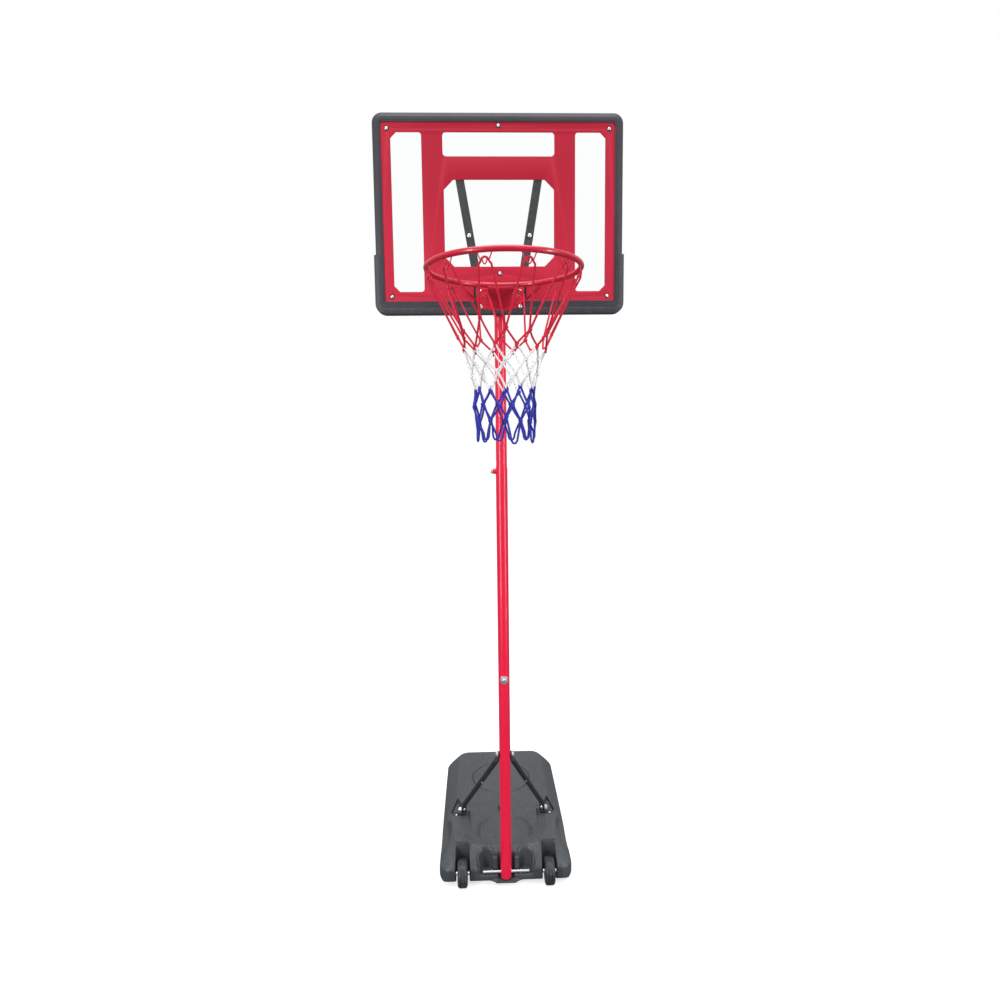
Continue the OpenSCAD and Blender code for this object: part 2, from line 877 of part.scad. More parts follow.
base_tank();
ballast_sand();
foot_rod();
rod_clips();
wheel_axle_left();
wheel_axle_right();
wheel_spacers();
strut_left();
strut_right();
strut_bracket_left();
strut_bracket_right();
strut_bracket_bolts();
strut_bracket_nuts();
bracket_screws();
strut_top_bolt();
strut_top_nut();
pole_foot_cap();
pole_lower();
joint_sleeve();
pole_middle();
joint_bolt();
joint_washer();
joint_nut();
lock_boss();
lock_bolt();
fill_cap();
cap_seal();
tyre_left();
hub_left();
tyre_right();
hub_right();
pole_upper();
pole_top_cap();
board_bracket();
bracket_bolts();
bracket_nuts();
v_brace_left();
v_brace_right();
v_brace_bolts();
v_brace_nuts();
clear_panel();
printed_sheet();
trim_frame();
corner_bumper();
board_bolts();
board_nuts();
centre_spacer();
rim_bracket();
rim_ring();
rim_brace_left();
rim_brace_right();
rim_bolts();
rim_nuts();
net_hooks();
net();
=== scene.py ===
"""A portable basketball hoop: a moulded base on wheels, a telescoping pole, a framed board, a rim and a net.

Sizes in this file are millimetres until a mesh is made. The frame gives every place: +X is to the
player's right, +Y points away from the player, +Z is up and the floor is at zero.
"""

from __future__ import annotations

import json
import logging
import math
from dataclasses import dataclass, field
from enum import Enum
from typing import Callable, Iterable, Sequence

import bmesh
import bpy
import numpy as np
from mathutils import Matrix, Vector
from mathutils.geometry import tessellate_polygon


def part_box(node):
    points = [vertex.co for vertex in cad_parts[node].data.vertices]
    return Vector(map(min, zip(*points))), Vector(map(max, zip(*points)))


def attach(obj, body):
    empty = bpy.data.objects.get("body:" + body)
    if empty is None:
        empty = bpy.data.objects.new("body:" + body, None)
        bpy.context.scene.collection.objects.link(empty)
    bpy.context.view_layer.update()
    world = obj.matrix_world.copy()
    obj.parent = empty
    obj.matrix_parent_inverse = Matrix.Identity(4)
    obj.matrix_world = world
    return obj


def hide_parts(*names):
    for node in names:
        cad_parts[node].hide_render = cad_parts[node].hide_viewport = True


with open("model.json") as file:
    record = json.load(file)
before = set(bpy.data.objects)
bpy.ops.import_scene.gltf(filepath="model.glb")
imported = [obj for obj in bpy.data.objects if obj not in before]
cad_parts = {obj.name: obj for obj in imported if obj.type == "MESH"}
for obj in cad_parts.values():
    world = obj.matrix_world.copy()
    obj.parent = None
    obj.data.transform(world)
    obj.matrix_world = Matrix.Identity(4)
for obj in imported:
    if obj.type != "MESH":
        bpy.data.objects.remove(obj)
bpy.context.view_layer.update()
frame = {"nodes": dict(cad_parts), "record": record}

log = logging.getLogger("hoop")

MM = 0.001
TURN = 2 * math.pi
SIDES = (-1, 1)
TO_PLAYER, AWAY, UP = (0, -1, 0), (0, 1, 0), (0, 0, 1)
TO_LEFT, TO_RIGHT = (-1, 0, 0), (1, 0, 0)

Array = np.ndarray
Thing = bpy.types.Object
Triple = tuple[float, float, float]
Colour = tuple[float, float, float, float]
Rows = Sequence[Sequence[float]]
Socket = bpy.types.NodeSocket


def node_box(node: str) -> tuple[Array, Array]:
    """The lowest and highest corner of a frame node in millimetres.

    Args:
        node: The node's name.

    Returns:
        Both corners as arrays.
    """
    low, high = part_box(node)
    return np.array(low) / MM, np.array(high) / MM


def node_middle(node: str) -> Array:
    """The middle of a frame node's box in millimetres."""
    low, high = node_box(node)
    return (low + high) / 2


POLE_Y = float(node_middle("pole_lower")[1])
SLOTS = {row["node"]: row["material_slot"] for row in frame["record"]["subparts"]}
BODIES = {node: body for body, nodes in frame["record"]["behaviour"]["bodies"].items() for node in nodes}


# ---- outlines and paths


def rounded(corners: Sequence[Triple], steps: int = 6) -> Array:
    """A closed outline whose corners are arcs.

    Args:
        corners: Across, up and radius of each corner, in order.
        steps: Segments in each arc.

    Returns:
        The outline's points, one row each.
    """
    points: list[Array] = []
    for i, (x, y, radius) in enumerate(corners):
        corner = np.array([x, y], float)
        back = np.array(corners[i - 1][:2], float) - corner
        ahead = np.array(corners[(i + 1) % len(corners)][:2], float) - corner
        back /= np.linalg.norm(back)
        ahead /= np.linalg.norm(ahead)
        if radius <= 0:
            points.append(corner)
            continue
        half = math.acos(float(np.clip(back @ ahead, -1, 1))) / 2
        middle = corner + (back + ahead) / np.linalg.norm(back + ahead) * radius / math.sin(half)
        first = corner + back * radius / math.tan(half) - middle
        last = corner + ahead * radius / math.tan(half) - middle
        start = math.atan2(first[1], first[0])
        sweep = (math.atan2(last[1], last[0]) - start + math.pi) % TURN - math.pi
        for k in range(steps + 1):
            angle = start + sweep * k / steps
            points.append(middle + radius * np.array([math.cos(angle), math.sin(angle)]))
    return np.array(points)


def window(left: float, right: float, low: float, high: float, radius: float, steps: int = 6) -> Array:
    """A rectangle with round corners, between two sides and two levels."""
    return rounded([(right, low, radius), (right, high, radius), (left, high, radius), (left, low, radius)],
                   steps)


def disc(x: float, y: float, radius: float, steps: int = 24) -> Array:
    """A circle's outline."""
    angles = np.arange(steps) * TURN / steps
    return np.stack([x + radius * np.cos(angles), y + radius * np.sin(angles)], 1)


def wound(outline: Array, left_turning: bool) -> Array:
    """The outline, turned round if it doesn't run the way that is asked for."""
    x, y = outline[:, 0], outline[:, 1]
    area = float(np.sum(x * np.roll(y, -1) - np.roll(x, -1) * y))
    return outline if (area > 0) == left_turning else outline[::-1]


def inset(outline: Array, distance: float) -> Array:
    """Moves every side of an outline to its left."""
    before = outline - np.roll(outline, 1, 0)
    after = np.roll(outline, -1, 0) - outline
    before /= np.linalg.norm(before, axis=1, keepdims=True)
    after /= np.linalg.norm(after, axis=1, keepdims=True)
    left_a = np.stack([-before[:, 1], before[:, 0]], 1)
    left_b = np.stack([-after[:, 1], after[:, 0]], 1)
    reach = 1 + np.sum(left_a * left_b, 1, keepdims=True)
    return outline + distance * (left_a + left_b) / np.maximum(reach, 0.3)


def spline(points: Rows, steps: int = 6, closed: bool = False) -> Array:
    """A smooth path through points.

    Args:
        points: The points that it passes.
        steps: Path points for each stretch between two of them.
        closed: Whether the last point leads back to the first.

    Returns:
        The path's points.
    """
    knots = np.array(points, float)
    count = len(knots)
    path: list[Array] = []
    for i in range(count if closed else count - 1):
        ends = [i - 1, i, i + 1, i + 2]
        a, b, c, d = (knots[e % count] if closed else knots[min(max(e, 0), count - 1)] for e in ends)
        for k in range(steps):
            t = k / steps
            path.append(0.5 * (2 * b + (c - a) * t + (2 * a - 5 * b + 4 * c - d) * t**2
                               + (3 * b - a - 3 * c + d) * t**3))
    if not closed:
        path.append(knots[-1])
    return np.array(path)


def rails(path: Array, closed: bool = False) -> tuple[Array, Array]:
    """Two directions square to a path at each of its points, carried along without twisting."""
    along = np.roll(path, -1, 0) - np.roll(path, 1, 0) if closed else np.gradient(path, axis=0)
    along /= np.linalg.norm(along, axis=1, keepdims=True)
    side = np.cross(along[0], [0.0, 0.0, 1.0] if abs(along[0][2]) < 0.9 else [1.0, 0.0, 0.0])
    sides = []
    for direction in along:
        side = side - direction * (side @ direction)
        side = side / np.linalg.norm(side)
        sides.append(side)
    across = np.array(sides)
    return across, np.cross(along, across)


def ball_end(radius: float, depth: float, steps: int = 4) -> list[tuple[float, float]]:
    """Radius and height of a domed end, from its rim to its middle."""
    return [(radius * math.cos(k * math.pi / 2 / steps), depth * math.sin(k * math.pi / 2 / steps))
            for k in range(steps + 1)]


@dataclass
class Place:
    """Where a flat drawing goes: an origin and the directions of its three axes."""

    origin: Triple
    across: Triple
    up: Triple
    out: Triple

    def __call__(self, drawn: Array) -> Array:
        """Drawn points as points of the frame."""
        return np.array(self.origin) + drawn @ np.array([self.across, self.up, self.out], float)


def facing_player(distance: float) -> Place:
    """A drawing that stands up and faces the player, this far in front of the pole's axis."""
    return Place((0, POLE_Y - distance, 0), (1, 0, 0), (0, 0, 1), (0, -1, 0))


def facing_side(x: float, side: int = 1) -> Place:
    """A drawing that stands up and faces along X; its across axis is the frame's Y."""
    return Place((x, 0, 0), (0, 1, 0), (0, 0, 1), (side, 0, 0))


def lying(z: float) -> Place:
    """A drawing that lies flat at a height."""
    return Place((0, 0, z), (1, 0, 0), (0, 1, 0), (0, 0, 1))


# ---- meshes


class Shell:
    """Points and faces gathered for one piece, in millimetres."""

    def __init__(self) -> None:
        """Starts empty."""
        self.points: list[Array] = []
        self.faces: list[tuple[int, ...]] = []
        self.count = 0

    def add(self, points: Array, faces: Iterable[Sequence[int]]) -> Shell:
        """Adds points and the faces that number them from zero."""
        self.points.append(np.asarray(points, float))
        self.faces.extend(tuple(int(i) + self.count for i in face) for face in faces)
        self.count += len(points)
        return self

    def bridge(self, loops: Sequence[Array], ring: bool = True, around: bool = False,
               capped: bool = True) -> Shell:
        """Joins loops of the same length into a skin.

        Args:
            loops: The loops in order.
            ring: Whether each loop closes on itself.
            around: Whether the last loop joins the first.
            capped: Whether the ends are closed.

        Returns:
            This shell.
        """
        rows, columns = len(loops), len(loops[0])
        faces: list[Sequence[int]] = []
        for i in range(rows if around else rows - 1):
            for j in range(columns if ring else columns - 1):
                k, m = (j + 1) % columns, (i + 1) % rows
                faces.append((i * columns + j, i * columns + k, m * columns + k, m * columns + j))
        if capped and not around:
            faces.append(tuple(range(columns))[::-1])
            faces.append(tuple((rows - 1) * columns + j for j in range(columns)))
        return self.add(np.concatenate(loops), faces)

    def turned(self, outline: Sequence[tuple[float, float]], sides: int = 48, closed: bool = False,
               centre: Sequence[float] = (0, 0, 0), axis: Sequence[float] = UP) -> Shell:
        """Turns a half outline of (radius, height) about an axis.

        Args:
            outline: The outline, from one end to the other.
            sides: Steps round the axis.
            closed: Whether the outline closes on itself, as a washer's does.
            centre: The point at height zero.
            axis: The direction of height.

        Returns:
            This shell.
        """
        direction = np.array(axis, float) / np.linalg.norm(axis)
        helper = [0.0, 0.0, 1.0] if abs(direction[2]) < 0.9 else [1.0, 0.0, 0.0]
        u = np.cross(helper, direction)
        u /= np.linalg.norm(u)
        v = np.cross(direction, u)
        angles = np.arange(sides) * TURN / sides
        circle = np.cos(angles)[:, None] * u + np.sin(angles)[:, None] * v
        loops = [np.array(centre, float) + radius * circle + height * direction for radius, height in outline]
        return self.bridge(loops, around=closed)

    def rolled(self, outline: Sequence[tuple[float, float]], sides: int, middle: Array,
               closed: bool = False) -> Shell:
        """Turns a half outline of (radius, X) about the X axis through a middle."""
        return self.turned(outline, sides, closed, (0, middle[1], middle[2]), TO_RIGHT)

    def tube(self, path: Array, radius: float, sides: int = 12, closed: bool = False,
             domed: bool = True) -> Shell:
        """Runs a round section along a path."""
        across, over = rails(path, closed)
        angles = np.arange(sides) * TURN / sides
        cos, sin = np.cos(angles)[:, None], np.sin(angles)[:, None]
        loops = [p + radius * (cos * a + sin * b) for p, a, b in zip(path, across, over)]
        if domed and not closed:
            for end, tip, inner in ((0, path[0], path[1]), (-1, path[-1], path[-2])):
                out = (tip - inner) / np.linalg.norm(tip - inner)
                caps = [tip + r * (cos * across[end] + sin * over[end]) + h * out
                        for r, h in ball_end(radius, radius * 0.5, 3)[1:]]
                loops = caps[::-1] + loops if end == 0 else loops + caps
        return self.bridge(loops, around=closed)

    def sheet(self, outline: Array, holes: Sequence[Array], thickness: float, place: Callable,
              edge: float = 0.4) -> Shell:
        """A flat plate with softened edges, centred on its place.

        Args:
            outline: The outer outline.
            holes: The outlines of its holes.
            thickness: From face to face.
            place: Turns drawn points into the frame's.
            edge: The radius along every edge.

        Returns:
            This shell.
        """
        loops = [wound(outline, True)] + [wound(hole, False) for hole in holes]
        bend = [(edge * (1 - math.cos(a)), thickness / 2 - edge * (1 - math.sin(a)))
                for a in (math.pi / 2, math.pi / 4, 0)]
        levels = bend + [(into, -height) for into, height in reversed(bend)]
        first: list[int] = []
        rings: list[list[int]] = []
        points: list[Array] = []
        faces: list[Sequence[int]] = []
        total = 0
        for loop in loops:
            size = len(loop)
            for row, (into, height) in enumerate(levels):
                moved = inset(loop, into)
                points.append(np.column_stack([moved, np.full(size, height)]))
                if row:
                    for j in range(size):
                        a, b = total + (row - 1) * size, total + row * size
                        k = (j + 1) % size
                        faces.append((a + j, a + k, b + k, b + j))
            rings.append([total, total + (len(levels) - 1) * size, size])
            first.append(total)
            total += size * len(levels)
        drawn = np.concatenate(points)
        for which in (0, 1):
            numbers = [ring[which] + j for ring in rings for j in range(ring[2])]
            flat = [[Vector((*drawn[ring[which] + j][:2], 0)) for j in range(ring[2])] for ring in rings]
            faces.extend(tuple(numbers[i] for i in triangle) for triangle in tessellate_polygon(flat))
        return self.add(place(drawn), faces)

    def mesh(self, name: str) -> bpy.types.Mesh:
        """The gathered points as one clean mesh in metres, with its faces turned outwards."""
        made = bpy.data.meshes.new(name)
        made.from_pydata((np.concatenate(self.points) * MM).tolist(), [], self.faces)
        tidy = bmesh.new()
        tidy.from_mesh(made)
        bmesh.ops.remove_doubles(tidy, verts=tidy.verts, dist=2e-6)
        bmesh.ops.dissolve_degenerate(tidy, edges=tidy.edges, dist=1e-7)
        bmesh.ops.recalc_face_normals(tidy, faces=tidy.faces)
        tidy.to_mesh(made)
        tidy.free()
        return made


def smooth(mesh: bpy.types.Mesh, angle: float = 38) -> None:
    """Shades a mesh smooth, except along edges sharper than an angle in degrees."""
    mesh.shade_smooth()
    mesh.set_sharp_from_angle(angle=math.radians(angle))


def linked(name: str, data: bpy.types.ID) -> Thing:
    """A new object in the scene."""
    made = bpy.data.objects.new(name, data)
    bpy.context.scene.collection.objects.link(made)
    return made


def baked(obj: Thing) -> bpy.types.Mesh:
    """The mesh that an object's modifiers give, with no modifier left."""
    graph = bpy.context.evaluated_depsgraph_get()
    result = bpy.data.meshes.new_from_object(obj.evaluated_get(graph), depsgraph=graph)
    obj.modifiers.clear()
    obj.data = result
    return result


def carved(obj: Thing, cutters: Sequence[Shell]) -> Thing:
    """Cuts shapes out of an object.

    Args:
        obj: The object, whose mesh is a closed skin.
        cutters: The shapes that are taken away.

    Returns:
        The same object.
    """
    tools = []
    for shell in cutters:
        tool = linked("cutter", shell.mesh("cutter"))
        cut = obj.modifiers.new("cut", "BOOLEAN")
        cut.operation, cut.solver, cut.object = "DIFFERENCE", "EXACT", tool
        tools.append(tool)
    baked(obj)
    for tool in tools:
        bpy.data.objects.remove(tool)
    return obj


# ---- materials


class Wire:
    """One shader socket, or a number, with the arithmetic that the finishes are written in."""

    def __init__(self, paint: Paint, socket: Socket) -> None:
        """Wraps an output socket of a material under construction."""
        self.paint = paint
        self.socket = socket

    def _with(self, operation: str, first: object, second: object = 0.0) -> Wire:
        """A Math node on two values."""
        return self.paint.node("ShaderNodeMath", {"operation": operation}, {0: first, 1: second})

    def __add__(self, other: object) -> Wire:
        """Sum."""
        return self._with("ADD", self, other)

    def __sub__(self, other: object) -> Wire:
        """Difference."""
        return self._with("SUBTRACT", self, other)

    def __rsub__(self, other: object) -> Wire:
        """Difference, from the right."""
        return self._with("SUBTRACT", other, self)

    def __mul__(self, other: object) -> Wire:
        """Product."""
        return self._with("MULTIPLY", self, other)

    __radd__, __rmul__ = __add__, __mul__

    def wave(self) -> Wire:
        """Sine."""
        return self._with("SINE", self)

    def size(self) -> Wire:
        """Absolute value."""
        return self._with("ABSOLUTE", self)

    def ramp(self, start: float, stop: float, low: float = 0.0, high: float = 1.0) -> Wire:
        """A smooth step from low at start to high at stop."""
        return self.paint.node("ShaderNodeMapRange", {"interpolation_type": "SMOOTHSTEP"},
                               {0: self, 1: start, 2: stop, 3: low, 4: high})


class Paint:
    """A material under construction."""

    def __init__(self, name: str) -> None:
        """Makes an empty material with this name."""
        self.material = bpy.data.materials.new(name)
        self.material.use_nodes = True
        self.tree = self.material.node_tree
        self.tree.nodes.clear()

    def node(self, kind: str, settings: dict | None = None, inputs: dict | None = None,
             output: int | str = 0) -> Wire:
        """Makes any node.

        Args:
            kind: The node's type.
            settings: Its properties, set first.
            inputs: Values or wires for its sockets, by name or number.
            output: The output that the result wraps.

        Returns:
            The wrapped output.
        """
        made = self.tree.nodes.new(kind)
        for key, value in (settings or {}).items():
            setattr(made, key, value)
        for key, value in (inputs or {}).items():
            socket = made.inputs[key]
            if isinstance(value, Wire):
                self.tree.links.new(value.socket, socket)
            else:
                socket.default_value = value
        return Wire(self, made.outputs[output]) if len(made.outputs) else Wire(self, None)

    def place(self) -> Wire:
        """Object coordinates."""
        return self.node("ShaderNodeTexCoord", output="Object")

    def axis(self, which: int) -> Wire:
        """One of the object coordinates, in metres: 0 is X, 1 is Y and 2 is Z."""
        return self.node("ShaderNodeSeparateXYZ", inputs={0: self.place()}, output=which)

    def noise(self, size_mm: float, detail: float = 3.0, roughness: float = 0.55,
              stretch: Triple = (1, 1, 1)) -> Wire:
        """Noise whose blotches are about this many millimetres across, between 0 and 1."""
        where = self.node("ShaderNodeMapping", inputs={"Vector": self.place(), "Scale": stretch})
        return self.node("ShaderNodeTexNoise", inputs={
            "Vector": where, "Scale": 1 / (size_mm * MM), "Detail": detail, "Roughness": roughness})

    def cells(self, size_mm: float) -> Wire:
        """Distance from the middle of the nearest of many small cells."""
        return self.node("ShaderNodeTexVoronoi", inputs={"Vector": self.place(), "Scale": 1 / (size_mm * MM)})

    def attribute(self, name: str, output: str) -> Wire:
        """A value that the piece's own mesh carries."""
        return self.node("ShaderNodeAttribute", {"attribute_name": name}, output=output)

    def blend(self, amount: object, first: object, second: object) -> Wire:
        """Mixes two colours."""
        return self.node("ShaderNodeMix", {"data_type": "RGBA"}, {0: amount, 6: first, 7: second}, output=2)

    def bump(self, height: Wire, depth_mm: float, under: Wire | None = None) -> Wire:
        """A normal from a height between 0 and 1 that stands this deep."""
        inputs: dict = {"Height": height, "Strength": 1.0, "Distance": depth_mm * MM}
        if under is not None:
            inputs["Normal"] = under
        return self.node("ShaderNodeBump", inputs=inputs)

    def surface(self, **inputs: object) -> Wire:
        """The main shader; an underscore in a name stands for a space."""
        named = {key.replace("_", " "): value for key, value in inputs.items()}
        return self.node("ShaderNodeBsdfPrincipled", inputs=named)

    def done(self, shader: Wire) -> bpy.types.Material:
        """Joins the shader to the output."""
        self.node("ShaderNodeOutputMaterial", inputs={"Surface": shader})
        return self.material


def tone(red: int, green: int, blue: int) -> Colour:
    """A screen colour of 0 to 255 as the linear colour that a shader takes."""
    def linear(value: int) -> float:
        """One channel as a linear share."""
        share = value / 255
        return share / 12.92 if share <= 0.04045 else ((share + 0.055) / 1.055) ** 2.4
    return (linear(red), linear(green), linear(blue), 1.0)


def scaled(colour: tuple[float, ...], share: float) -> Colour:
    """A colour made darker or lighter."""
    return (colour[0] * share, colour[1] * share, colour[2] * share, 1.0)


@dataclass(frozen=True)
class Finish:
    """A named finish; each kind below gives its own shader."""

    name: str

    def surface(self, paint: Paint) -> Wire:
        """The finish's shader."""
        raise NotImplementedError

    def material(self) -> bpy.types.Material:
        """Builds the material."""
        paint = Paint(self.name)
        return paint.done(self.surface(paint))


@dataclass(frozen=True)
class MouldedPlastic(Finish):
    """Plastic from a textured mould: fine grain, faint flow marks and a little dust on what faces up."""

    colour: Colour
    gloss: float = 0.42
    grain_mm: float = 1.3
    grain_depth: float = 0.12
    dust: float = 0.10

    def surface(self, paint: Paint) -> Wire:
        """The finish's shader."""
        flow = paint.noise(160, 4, 0.5, (1, 0.5, 1))
        mottle = paint.noise(9, 3)
        base = paint.blend(flow.ramp(0.3, 0.7), scaled(self.colour, 0.9), scaled(self.colour, 1.1))
        facing = paint.node("ShaderNodeNewGeometry", output="Normal")
        upward = paint.node("ShaderNodeSeparateXYZ", inputs={0: facing}, output=2)
        settled = upward.ramp(0.3, 1.0) * mottle.ramp(0.35, 0.8) * self.dust
        colour = paint.blend(settled, base, tone(190, 186, 178))
        grain = paint.cells(self.grain_mm)
        scratch = paint.noise(24, 6, 0.7, (1, 6, 1)).ramp(0.62, 0.72)
        rough = self.gloss + mottle * 0.1 + settled * 0.8 + scratch * 0.08
        normal = paint.bump(grain, self.grain_depth)
        normal = paint.bump(paint.noise(60, 2), 0.25, normal)
        return paint.surface(Base_Color=colour, Roughness=rough, Normal=normal, Specular_IOR_Level=0.4)


@dataclass(frozen=True)
class GlossPaint(Finish):
    """Baked paint on steel: a clear gloss over a faint orange peel, with tiny chips."""

    colour: Colour
    shade: Colour
    gloss: float = 0.28
    coat: float = 0.6
    chips: float = 0.5

    def surface(self, paint: Paint) -> Wire:
        """The finish's shader."""
        cloud = paint.noise(110, 3, 0.5, (1, 1, 0.35))
        speck = paint.noise(2.2, 2)
        base = paint.blend(cloud.ramp(0.3, 0.72), self.shade, self.colour)
        chip = paint.noise(7, 5, 0.6).ramp(0.755, 0.775) * self.chips
        colour = paint.blend(chip, base, scaled(self.shade, 0.35))
        rough = self.gloss + speck * 0.06 + chip * 0.4
        peel = paint.noise(3.2, 2, 0.4)
        normal = paint.bump(peel, 0.05)
        normal = paint.bump(1 - chip, 0.08, normal)
        return paint.surface(
            Base_Color=colour, Roughness=rough, Normal=normal, Coat_Weight=self.coat, Coat_Roughness=0.08)


@dataclass(frozen=True)
class PowderCoat(Finish):
    """Dark powder coat: a fine pebbled skin with lighter rubbed patches."""

    colour: Colour
    rubbed: Colour
    gloss: float = 0.38

    def surface(self, paint: Paint) -> Wire:
        """The finish's shader."""
        patch = paint.noise(35, 5, 0.65).ramp(0.5, 0.75)
        colour = paint.blend(patch * 0.6, self.colour, self.rubbed)
        pebbles = paint.noise(0.9, 2, 0.5)
        rough = self.gloss + pebbles * 0.12 + patch * 0.06
        normal = paint.bump(pebbles, 0.07)
        return paint.surface(Base_Color=colour, Roughness=rough, Normal=normal)


@dataclass(frozen=True)
class PlatedSteel(Finish):
    """Bright zinc plate: cloudy crystals, fine brushing and a few dull spots."""

    colour: Colour
    gloss: float = 0.24

    def surface(self, paint: Paint) -> Wire:
        """The finish's shader."""
        crystal = paint.cells(2.4)
        spot = paint.noise(5, 4, 0.6).ramp(0.62, 0.7)
        brushed = paint.noise(1.2, 2, 0.5, (1, 1, 9))
        colour = paint.blend(crystal.ramp(0.1, 0.8), self.colour, scaled(self.colour, 0.86))
        colour = paint.blend(spot * 0.5, colour, scaled(self.colour, 0.6))
        rough = self.gloss + brushed * 0.14 + spot * 0.2
        normal = paint.bump(brushed, 0.02)
        return paint.surface(Base_Color=colour, Roughness=rough, Normal=normal, Metallic=0.85)


@dataclass(frozen=True)
class SoftRubber(Finish):
    """Matt rubber or a solid tyre: a dull skin, paler where it has rolled or rubbed."""

    colour: Colour
    worn: Colour
    gloss: float = 0.55

    def surface(self, paint: Paint) -> Wire:
        """The finish's shader."""
        scuff = paint.noise(14, 6, 0.7).ramp(0.45, 0.75)
        grit = paint.noise(1.0, 3, 0.6)
        colour = paint.blend(scuff * 0.7, self.colour, self.worn)
        rough = self.gloss + grit * 0.15 + scuff * 0.08
        normal = paint.bump(grit, 0.09)
        return paint.surface(Base_Color=colour, Roughness=rough, Normal=normal)


@dataclass(frozen=True)
class ClearSheet(Finish):
    """Clear plastic sheet: it shows what is behind it, with faint wiping marks in its gloss."""

    body: float = 0.05

    def surface(self, paint: Paint) -> Wire:
        """The finish's shader."""
        wipe = paint.noise(60, 5, 0.6, (1, 1, 3)).ramp(0.45, 0.8)
        gloss = paint.surface(Base_Color=tone(236, 242, 244), Roughness=0.05 + wipe * 0.12, IOR=1.49)
        clear = paint.node("ShaderNodeBsdfTransparent", inputs={"Color": (0.99, 0.995, 0.995, 1)})
        edge = paint.node("ShaderNodeFresnel", inputs={"IOR": 1.3})
        share = edge * 0.35 + wipe * 0.01 + self.body * 0.2
        return paint.node("ShaderNodeMixShader", inputs={0: share, 1: clear, 2: gloss})


@dataclass(frozen=True)
class PrintedFilm(Finish):
    """A printed sheet: one ink with painted shade, a little darker towards the top and lighter towards the
    sides, with a soft gloss.
    """

    deep: Colour
    light: Colour
    low: float
    high: float

    def surface(self, paint: Paint) -> Wire:
        """The finish's shader."""
        # painted shade and painted light: the ink darkens towards the top and lightens towards the sides
        height = paint.axis(2).ramp(self.low, self.high)
        out = paint.axis(0).size().ramp(0.18, 0.4)
        cloud = paint.noise(90, 4, 0.55)
        share = height * 0.75 - out * 0.35 + cloud * 0.3
        ink_with_painted_shade = paint.blend(share.ramp(0.0, 1.0), self.light, self.deep)
        dots = paint.cells(0.8)
        ink_with_painted_shade = paint.blend(dots.ramp(0.2, 0.9) * 0.08, ink_with_painted_shade, scaled(self.deep, 0.7))
        rough = 0.5 + cloud * 0.12
        normal = paint.bump(dots, 0.02)
        return paint.surface(Base_Color=ink_with_painted_shade, Roughness=rough, Normal=normal, Specular_IOR_Level=0.3)


@dataclass(frozen=True)
class NetYarn(Finish):
    """Braided nylon: plaited strands that wind round the cord, with painted shade in the grooves between
    them, a little fluff and grime.
    """

    colour: Colour
    shade: Colour
    plait_mm: float = 5.0

    def surface(self, paint: Paint) -> Wire:
        """The finish's shader."""
        along = paint.attribute("along", "Fac") * (TURN / (self.plait_mm * MM))
        round_it = paint.attribute("around", "Vector")
        x = paint.node("ShaderNodeSeparateXYZ", inputs={0: round_it}, output=0)
        y = paint.node("ShaderNodeSeparateXYZ", inputs={0: round_it}, output=1)
        angle = paint.node("ShaderNodeMath", {"operation": "ARCTAN2"}, {0: y, 1: x})
        left = (along + angle * 2).wave()
        right = (along - angle * 2).wave()
        plait = (left * right).size()
        fluff = paint.noise(1.5, 4, 0.7)
        # painted shade: the grooves between the plaited strands take the darker shade colour
        colour = paint.blend(plait.ramp(0.0, 0.5), self.shade, self.colour)
        colour = paint.blend(paint.noise(30, 3).ramp(0.5, 0.8) * 0.25, colour, self.shade)
        rough = 0.62 + fluff * 0.2
        normal = paint.bump(plait, 0.35)
        normal = paint.bump(fluff, 0.1, normal)
        return paint.surface(Base_Color=colour, Roughness=rough, Normal=normal, Sheen_Weight=0.06)


@dataclass(frozen=True)
class DrySand(Finish):
    """Loose ballast sand."""

    colour: Colour

    def surface(self, paint: Paint) -> Wire:
        """The finish's shader."""
        grain = paint.cells(0.9)
        colour = paint.blend(grain.ramp(0.1, 0.9), self.colour, scaled(self.colour, 0.5))
        return paint.surface(Base_Color=colour, Roughness=0.9, Normal=paint.bump(grain, 0.4))


FINISHES = {made.name: made for made in (
    MouldedPlastic("tank_plastic", tone(72, 77, 80), 0.34, 1.5, 0.05, 0.08),
    MouldedPlastic("cap_plastic", tone(34, 35, 38), 0.35, 0.9, 0.06, 0.05),
    MouldedPlastic("trim_plastic", tone(61, 59, 66), 0.40, 1.1, 0.10, 0.04),
    MouldedPlastic("hub_plastic", tone(96, 99, 102), 0.36, 1.0, 0.06, 0.06),
    SoftRubber("bumper_rubber", tone(62, 61, 67), tone(84, 83, 88), 0.46),
    SoftRubber("wheel_tyre", tone(48, 51, 52), tone(92, 94, 94), 0.3),
    SoftRubber("seal_rubber", tone(24, 24, 26), tone(44, 44, 46), 0.6),
    GlossPaint("pole_paint", tone(246, 26, 72), tone(236, 20, 64), 0.26, 0.3),
    GlossPaint("rim_paint", tone(212, 20, 58), tone(194, 14, 50), 0.26, 0.35, 0.35),
    PowderCoat("strut_paint", tone(44, 46, 48), tone(62, 63, 65)),
    PowderCoat("bracket_steel", tone(44, 46, 50), tone(70, 72, 76)),
    PlatedSteel("zinc_steel", tone(242, 243, 244)),
    ClearSheet("clear_plastic"),
    # the printed film's deep and light reds are the painted shade and painted light of one ink, spread
    # between 2.05 m and 2.5 m up
    PrintedFilm("printed_film", tone(176, 18, 48), tone(198, 32, 62), 2.05, 2.5),
    DrySand("sand", tone(196, 172, 128)),
    # each yarn's second colour is painted shade in the plait's grooves, and also tints the grime
    NetYarn("yarn_red", tone(226, 6, 58), tone(186, 4, 46)),
    NetYarn("yarn_white", tone(252, 252, 252), tone(232, 232, 234)),
    NetYarn("yarn_blue", tone(46, 56, 192), tone(22, 28, 126)),
)}
MADE: dict[str, bpy.types.Material] = {}


def finish(slot: str) -> bpy.types.Material:
    """The material of a slot, made once."""
    if slot not in MADE:
        MADE[slot] = FINISHES[slot].material()
    return MADE[slot]


# ---- pieces and repeats


